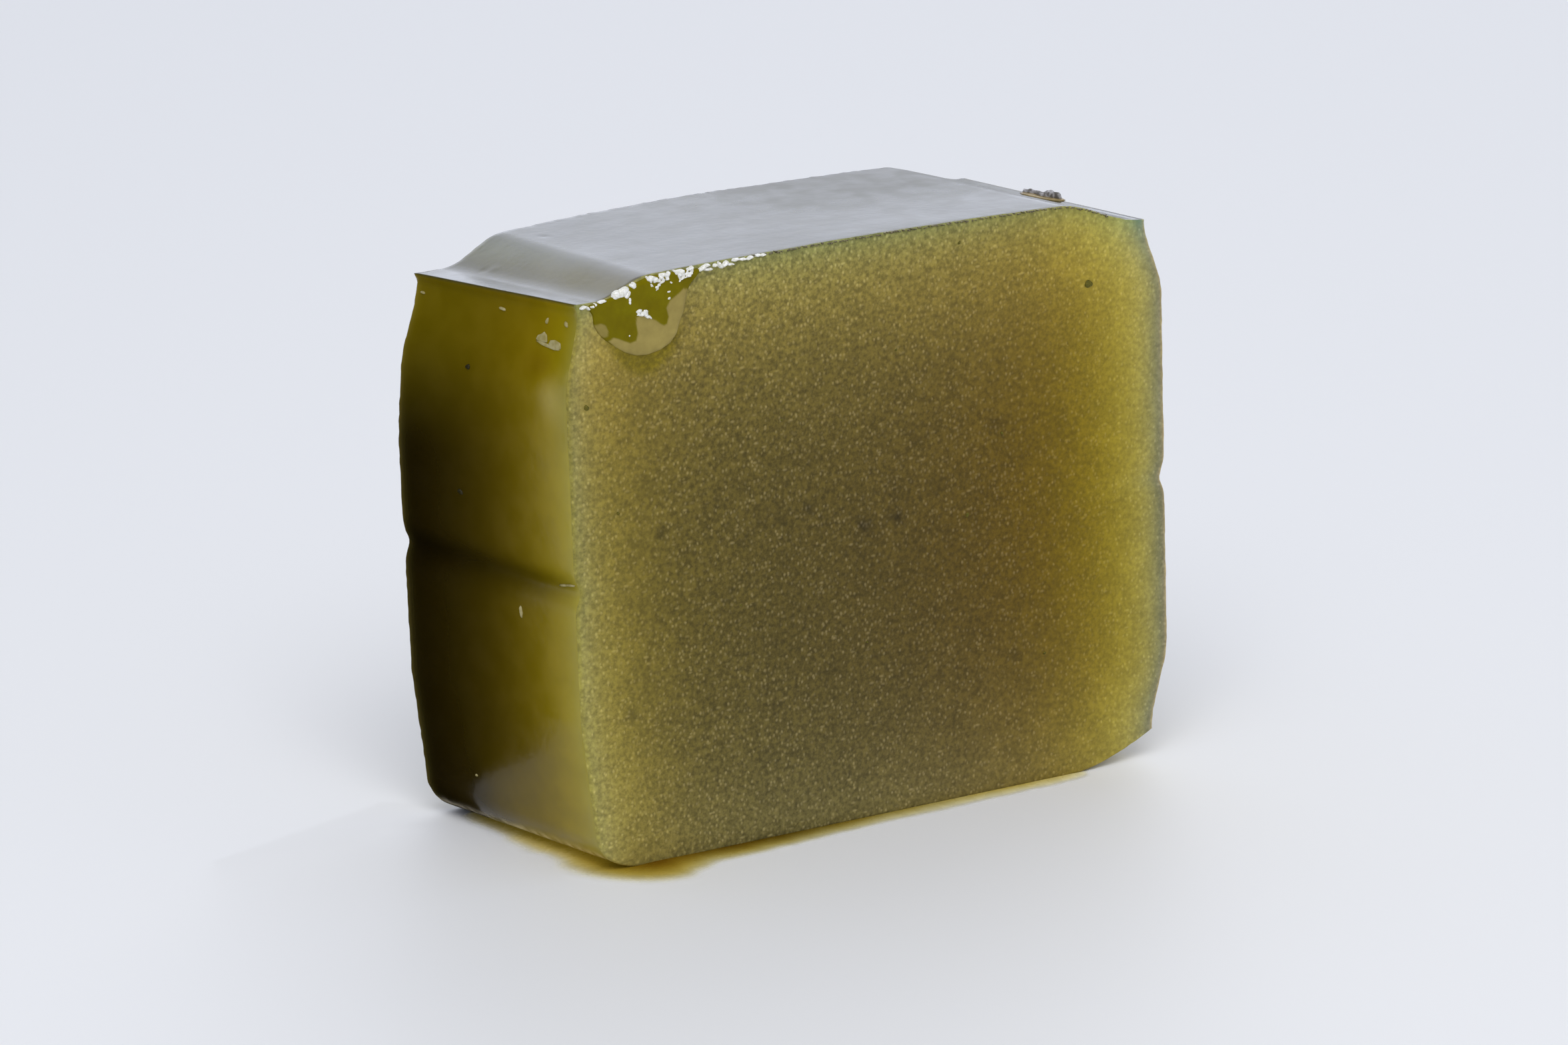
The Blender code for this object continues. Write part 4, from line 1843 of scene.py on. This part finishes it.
@dataclass(frozen=True)
class CutFinish:
    """Knife-cut jelly: moist but matt, with the grain of bean paste over the tone of its thickness."""

    # The flecks' pale colour is partly the paste's grain and partly painted glints.
    fleck: Colour = (0.44, 0.37, 0.225)
    fleck_gain: float = 2.5
    fleck_size: float = 0.29 * MM
    fleck_share: float = 0.74
    fleck_tint: float = 0.35
    fleck_gloss: float = 0.15
    soaked_full: float = 0.8
    soaked_fleck_share: float = 0.08
    mottle_size: float = 1.6 * MM
    mottle: float = 0.07
    roughness: float = 0.55
    specular: float = 0.2
    bump: float = 0.03 * MM
    subsurface: float = 0.15
    radius: Colour = (1.0, 0.75, 0.15)
    reach: float = 1.2 * MM

    def make(self, effects: JellyEffects) -> bpy.types.Material:
        """Builds the material.

        Args:
            effects: The shared effects.

        Returns:
            The material of the cut faces.
        """
        material, sheet, shader = principled("cut_jelly")
        grain = effects.grain(sheet, self.fleck_size)
        cloud = noise_of(sheet, self.mottle_size)
        mottle = sheet.ranged(cloud, *NOISE_SPAN, 1.0 - self.mottle, 1.0 + self.mottle)
        sharp = sheet.mask("sharp")
        uneven = sheet.maths("SUBTRACT", grain.outputs["Shade"], 1.0)
        grained = sheet.maths("MULTIPLY_ADD", uneven, sharp, 1.0)
        shade = sheet.maths("MULTIPLY", grained, mottle)
        base = sheet.tone("cut_tone")
        soaked = sheet.mask("soaked")
        clear = sheet.ranged(soaked, 0.0, self.soaked_full, self.fleck_share, self.soaked_fleck_share)
        share = sheet.maths("MULTIPLY", sheet.maths("MULTIPLY", grain.outputs["Flecks"], sharp), clear)
        # A brighter copy of the tone blended with a pale colour: grain partly, painted glints partly.
        pale = sheet.blend(sheet.shaded(base, self.fleck_gain), self.fleck, self.fleck_tint)
        sheet.feed(shader.inputs["Base Color"], sheet.blend(sheet.shaded(base, shade), pale, share))
        smooth = self.roughness - self.fleck_gloss
        rough = sheet.ranged(grain.outputs["Flecks"], 0.0, 1.0, self.roughness, smooth)
        sheet.feed(shader.inputs["Roughness"], rough)
        dented(sheet, shader, grain.outputs["Height"], self.bump)
        shader.inputs["Specular IOR Level"].default_value = self.specular
        translucent(shader, self.subsurface, self.radius, self.reach)
        return material


@dataclass(frozen=True)
class MouldedFinish:
    """Moulded jelly: wet, smooth and glossy over the deep tone of its sides."""

    roughness: float = 0.18
    dull_roughness: float = 0.14
    specular: float = 0.33
    cloud_size: float = 2.2 * MM
    cloud: float = 0.06
    speck_size: float = 0.5 * MM
    bump: float = 0.008 * MM
    subsurface: float = 0.12
    radius: Colour = (1.0, 0.75, 0.1)
    reach: float = 1.5 * MM

    def make(self) -> bpy.types.Material:
        """Builds the material of the moulded sides.

        Returns:
            The material.
        """
        material, sheet, shader = principled("moulded_jelly")
        cloud = noise_of(sheet, self.cloud_size)
        shade = sheet.ranged(cloud, *NOISE_SPAN, 1.0 - self.cloud, 1.0 + self.cloud)
        sheet.feed(shader.inputs["Base Color"], sheet.shaded(sheet.tone("moulded_tone"), shade))
        rough = sheet.ranged(cloud, *NOISE_SPAN, self.roughness - 0.03, self.roughness + 0.04)
        rough = sheet.maths("MULTIPLY_ADD", sheet.mask("dull"), self.dull_roughness, rough)
        sheet.feed(shader.inputs["Roughness"], rough)
        dented(sheet, shader, noise_of(sheet, self.speck_size), self.bump)
        shader.inputs["Specular IOR Level"].default_value = self.specular
        translucent(shader, self.subsurface, self.radius, self.reach)
        return material


@dataclass(frozen=True)
class SyrupFinish:
    """Clear olive syrup: very smooth and wet, tinted by what lies in it."""

    roughness: float = 0.12
    specular: float = 0.07
    cloud_size: float = 0.5 * MM
    cloud: float = 0.05

    def make(self) -> bpy.types.Material:
        """Builds the material of the syrup run.

        Returns:
            The material.
        """
        material, sheet, shader = principled("syrup")
        cloud = noise_of(sheet, self.cloud_size)
        shade = sheet.ranged(cloud, *NOISE_SPAN, 1.0 - self.cloud, 1.0 + self.cloud)
        sheet.feed(shader.inputs["Base Color"], sheet.shaded(sheet.tone("syrup_tone"), shade))
        rough = sheet.ranged(cloud, *NOISE_SPAN, self.roughness, self.roughness + 0.08)
        sheet.feed(shader.inputs["Roughness"], rough)
        shader.inputs["Specular IOR Level"].default_value = self.specular
        return material


@dataclass(frozen=True)
class SpeckledFinish:
    """A finish of two tones that run into each other in fine specks, for the small pieces.

    Attributes:
        name: Name of the material.
        low: Tone of its hollows.
        high: Tone of its highs.
        size: Size of the specks, in metres.
        roughness: How rough it is.
        specular: How strongly it shines.
        bump: Height of the specks, in metres.
    """

    name: str
    low: Colour
    high: Colour
    size: float
    roughness: float
    specular: float
    bump: float = 0.01 * MM

    def make(self) -> bpy.types.Material:
        """Builds the material.

        Returns:
            The material.
        """
        material, sheet, shader = principled(self.name)
        specks = noise_of(sheet, self.size)
        share = sheet.ranged(specks, 0.35, 0.65, 0.0, 1.0)
        sheet.feed(shader.inputs["Base Color"], sheet.blend(self.low, self.high, share))
        rough = sheet.ranged(specks, *NOISE_SPAN, self.roughness + 0.08, self.roughness)
        sheet.feed(shader.inputs["Roughness"], rough)
        dented(sheet, shader, specks, self.bump)
        shader.inputs["Specular IOR Level"].default_value = self.specular
        return material


# Near-white daubs that stand for glints: painted highlight.
GLINT_FINISH = SpeckledFinish(
    "painted_glint", (0.72, 0.71, 0.62), (0.95, 0.95, 0.93), 0.12 * MM, roughness=0.22, specular=0.5
)
# Far paler than the side they lie on: real drops of syrup with painted highlight in their colour.
DROP_HIGHLIGHT_FINISH = SpeckledFinish(
    "side_syrup_highlight", (0.30, 0.25, 0.08), (0.40, 0.35, 0.17), 0.5 * MM, roughness=0.35, specular=0.3,
    bump=0.005 * MM,
)
SPECK_FINISH = SpeckledFinish(
    "bean_skin", (0.085, 0.075, 0.006), (0.14, 0.12, 0.012), 0.1 * MM, roughness=0.5, specular=0.2
)
SIDE_SPECK_FINISH = SpeckledFinish(
    "side_bean_skin", (0.012, 0.010, 0.002), (0.030, 0.025, 0.005), 0.1 * MM, 0.5, 0.2
)
CRUMB_FINISH = SpeckledFinish(
    "knife_crumb", (0.055, 0.046, 0.018), (0.22, 0.19, 0.10), 0.12 * MM, roughness=0.4, specular=0.3
)
FLAKE_FINISH = SpeckledFinish(
    "torn_skin", (0.13, 0.12, 0.11), (0.42, 0.41, 0.43), 0.3 * MM, roughness=0.45, specular=0.3,
    bump=0.05 * MM,
)
AMBER_FINISH = SpeckledFinish(
    "amber_syrup", (0.27, 0.20, 0.08), (0.40, 0.31, 0.16), 0.6 * MM, roughness=0.3, specular=0.2,
    bump=0.005 * MM,
)


@dataclass(frozen=True)
class MoistureFinish:
    """Amber moisture on the floor: it takes its tone from how thick it lies, and is clear at its rim."""

    roughness: float = 0.22
    specular: float = 0.12
    size: float = 0.9 * MM

    def make(self) -> bpy.types.Material:
        """Builds the material: the tone carries a painted contact shadow, the emission a painted glow, and the
        alpha runs up over the outer part.

        Returns:
            The material.
        """
        material, sheet, shader = principled("moisture")
        noise = noise_of(sheet, self.size)
        shade = sheet.ranged(noise, *NOISE_SPAN, 0.96, 1.04)
        sheet.feed(shader.inputs["Base Color"], sheet.shaded(sheet.tone("moisture_tone"), shade))
        sheet.feed(shader.inputs["Alpha"], sheet.ranged(sheet.mask("wet"), 0.0, 0.55, 0.0, 1.0))
        sheet.feed(shader.inputs["Emission Color"], sheet.tone("moisture_glow"))
        shader.inputs["Emission Strength"].default_value = 1.0
        rough = sheet.ranged(noise, *NOISE_SPAN, self.roughness, self.roughness + 0.1)
        sheet.feed(shader.inputs["Roughness"], rough)
        shader.inputs["Specular IOR Level"].default_value = self.specular
        return material


# --- studio


class Sight(Enum):
    """Which rays a lamp is there for."""

    ALL = "all"
    GLOSS = "gloss"


@dataclass(frozen=True)
class Softbox:
    """A soft rectangular lamp.

    Attributes:
        name: Name of the lamp.
        place: Where it stands, in metres.
        aim: What it faces.
        wide: Its width, in metres.
        tall: Its height, in metres.
        radiance: How bright its face is, where 1 is white.
        tint: Its colour.
        sight: Which rays it is there for.
    """

    name: str
    place: tuple[float, float, float]
    aim: tuple[float, float, float]
    wide: float
    tall: float
    radiance: float
    tint: Colour
    sight: Sight = Sight.ALL

    def make(self) -> None:
        """Makes the lamp: its power is pi times its area times its radiance."""
        lamp = bpy.data.lights.new(self.name, "AREA")
        lamp.shape = "RECTANGLE"
        lamp.size, lamp.size_y = self.wide, self.tall
        lamp.energy = math.pi * self.wide * self.tall * self.radiance
        lamp.color = self.tint
        made = bpy.data.objects.new(self.name, lamp)
        made.location = self.place
        away = Vector(self.aim) - Vector(self.place)
        made.rotation_euler = away.to_track_quat("-Z", "Y").to_euler()
        made.visible_camera = False
        if self.sight is Sight.GLOSS:
            made.visible_diffuse = False
            made.visible_transmission = False
            made.visible_volume_scatter = False
        bpy.context.scene.collection.objects.link(made)


@dataclass(frozen=True)
class Flag:
    """A black flag that stands beside the slice and keeps its left side's reflections deep.

    Attributes:
        screen: Corners of its notched screen, in turn, as X and height in metres.
        foot_depth: Y of the screen's foot.
        lean: How far the screen leans forward for each metre of height.
        wing_edge: X and Y of the wing's far edge, close behind the slice.
        mat: Corners of the mat between slice and flag, as X and Y: painted shade on the floor, seen only in
            reflections.
        mat_height: Height of the mat over the floor.
        colour: Its colour.
    """

    screen: Outline = (
        (-0.0320, 0.0), (-0.0320, 0.055), (-0.0580, 0.055), (-0.0580, 0.0365), (-0.0415, 0.0360),
        (-0.0392, 0.0351), (-0.0378, 0.0332), (-0.0373, 0.0295), (-0.0379, 0.0262), (-0.0387, 0.0230),
        (-0.0393, 0.0200), (-0.0401, 0.0150), (-0.0409, 0.0110), (-0.0414, 0.0070), (-0.0420, 0.0030),
        (-0.0422, 0.0),
    )
    foot_depth: float = 0.0082
    lean: float = 0.10
    wing_edge: tuple[float, float] = (-0.0262, 0.0130)
    mat: Outline = (
        (-0.0203, 0.0042), (-0.0240, 0.0052), (-0.0271, 0.0070), (-0.0288, 0.0079), (-0.0305, 0.0072),
        (-0.0316, 0.0065), (-0.0328, 0.0061), (-0.0341, 0.0059), (-0.0355, 0.0062), (-0.0370, 0.0071),
        (-0.0422, 0.0083), (-0.0262, 0.0130), (-0.0212, 0.0092),
    )
    mat_height: float = 0.0002
    colour: Colour = (0.01, 0.008, 0.004)

    def make(self) -> None:
        """Makes the screen, its wing and the mat, which only reflections see."""
        screen = [(x, self.foot_depth - self.lean * height, height) for x, height in self.screen]
        top = self.screen[1][1]
        wing = [(*self.wing_edge, 0.0), (*self.wing_edge, top)]
        mat = [(x, y, self.mat_height) for x, y in self.mat]
        count = len(screen)
        on_floor = tuple(range(count + 2, count + 2 + len(mat)))
        faces = [tuple(range(count)), (0, count, count + 1, 1), on_floor]
        mesh = bpy.data.meshes.new("flag")
        mesh.from_pydata(screen + wing + mat, [], faces)
        material, _, shader = principled("black_flag")
        shader.inputs["Base Color"].default_value = (*self.colour, 1.0)
        shader.inputs["Specular IOR Level"].default_value = 0.0
        mesh.materials.append(material)
        made = bpy.data.objects.new("flag", mesh)
        made.visible_camera = False
        made.visible_diffuse = False
        made.visible_shadow = False
        made.visible_transmission = False
        made.visible_volume_scatter = False
        bpy.context.scene.collection.objects.link(made)


WINDOW_TINT = (0.86, 0.91, 1.05)


@dataclass(frozen=True)
class Studio:
    """Plain pale floor and surroundings, soft lamps, a flag, and the camera."""

    camera_place: tuple[float, float, float] = (-0.2247, -0.3463, 0.1400)
    camera_aim: tuple[float, float, float] = (-0.0006, 0.0, 0.0197)
    camera_lens: float = 140.0
    camera_sensor: float = 36.0
    camera_clip: tuple[float, float] = (0.02, 20.0)
    floor_radius: float = 3.0
    floor_spokes: int = 96
    floor_rings: int = 24
    floor_roughness: float = 0.6
    floor_colour: Colour = (0.87, 0.88, 0.90)
    sky_colour: Colour = (0.82, 0.85, 0.93)
    sky_strength: float = 0.53
    lamps: tuple[Softbox, ...] = (
        Softbox("key", (-0.45, -0.70, 1.10), (0.0, 0.0, 0.02), 1.2, 1.0, 1.3, (1.0, 0.99, 0.98)),
        Softbox("pool", (-0.20, -0.34, 0.50), (0.0, -0.02, 0.0), 0.36, 0.30, 3.2, (1.0, 0.99, 0.97)),
        Softbox("rim", (0.55, 0.50, 0.60), (0.0, 0.0, 0.02), 0.6, 0.5, 0.9, (1.0, 0.99, 0.97)),
        Softbox(
            "left_window", (-0.0685, 1.0428, 0.36), (-0.4885, 0.2628, 0.04), 0.691, 0.6, 1.25, WINDOW_TINT,
            Sight.GLOSS,
        ),
        Softbox(
            "middle_window", (0.3532, 0.8159, 0.36), (-0.0668, 0.0359, 0.04), 0.2665, 0.6, 1.52, WINDOW_TINT,
            Sight.GLOSS,
        ),
        Softbox(
            "right_window", (0.8420, 0.5530, 0.36), (0.4220, -0.2270, 0.04), 0.8425, 0.6, 1.38, WINDOW_TINT,
            Sight.GLOSS,
        ),
        Softbox(
            "glint", (-0.10, -0.30, 0.75), (0.0, 0.0, 0.03), 0.12, 0.12, 18.0, (1.0, 0.98, 0.92), Sight.GLOSS
        ),
    )

    def floor(self) -> None:
        """Makes the floor, a flat disc of rings and spokes just under the slice."""
        spokes, rings = self.floor_spokes, self.floor_rings
        turn = np.linspace(0.0, 2.0 * math.pi, spokes, endpoint=False)[None, :]
        radius = self.floor_radius * np.linspace(0.001, 1.0, rings)[:, None] ** 2
        points = np.stack([radius * np.cos(turn), radius * np.sin(turn), 0.0 * radius * turn], axis=-1)
        numbers = np.arange(rings * spokes).reshape(rings, spokes)
        quads = quads_of(np.concatenate([numbers, numbers[:, :1]], axis=1))
        mesh = bpy.data.meshes.new("floor")
        hub = [tuple(numbers[0])]
        mesh.from_pydata(points.reshape(-1, 3), [], [tuple(quad) for quad in quads] + hub)
        material, _, shader = principled("pale_floor")
        shader.inputs["Base Color"].default_value = (*self.floor_colour, 1.0)
        shader.inputs["Roughness"].default_value = self.floor_roughness
        mesh.materials.append(material)
        made = bpy.data.objects.new("floor", mesh)
        bpy.context.scene.collection.objects.link(made)

    def surroundings(self) -> None:
        """Makes the even pale light that comes from all round."""
        world = bpy.data.worlds.new("studio")
        world.use_nodes = True
        background = world.node_tree.nodes["Background"]
        background.inputs["Color"].default_value = (*self.sky_colour, 1.0)
        background.inputs["Strength"].default_value = self.sky_strength
        bpy.context.scene.world = world

    def camera(self) -> None:
        """Makes the camera, level and without shift."""
        lens = bpy.data.cameras.new("camera")
        lens.lens = self.camera_lens
        lens.sensor_width = self.camera_sensor
        lens.clip_start, lens.clip_end = self.camera_clip
        made = bpy.data.objects.new("camera", lens)
        made.location = self.camera_place
        away = Vector(self.camera_aim) - Vector(self.camera_place)
        made.rotation_euler = away.to_track_quat("-Z", "Y").to_euler()
        bpy.context.scene.collection.objects.link(made)
        bpy.context.scene.camera = made

    def make(self) -> None:
        """Makes everything that isn't the slice."""
        self.floor()
        self.surroundings()
        for lamp in self.lamps:
            lamp.make()
        Flag().make()
        self.camera()
        bpy.context.scene.view_settings.view_transform = "Standard"


def main() -> None:
    """Makes the studio, then each piece of the slice."""
    logging.basicConfig(level=logging.INFO, format="%(name)s: %(message)s")
    Studio().make()
    effects = JellyEffects()
    body = SliceBody(MouldedSection())
    jelly = body.piece(CutFinish().make(effects), MouldedFinish().make()).make()
    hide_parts(NODE)
    SyrupRun(body).piece(SyrupFinish().make()).make()
    PaintedGlints(body).piece(GLINT_FINISH.make()).make()
    SideDrops(body).piece(DROP_HIGHLIGHT_FINISH.make()).make()
    specks = SkinSpecks(body)
    specks.specks("skin_specks", Face.FRONT, SPECK_FINISH.make()).make()
    specks.specks("side_specks", Face.LEFT, SIDE_SPECK_FINISH.make()).make()
    EdgeCrumbs(body).piece(CRUMB_FINISH.make()).make()
    flake = TornFlake(body)
    flake.smear_piece(AMBER_FINISH.make()).make()
    flake.piece(FLAKE_FINISH.make()).make()
    FootMoisture(body).piece(MoistureFinish().make()).make()


if __name__ == "__main__":
    main()
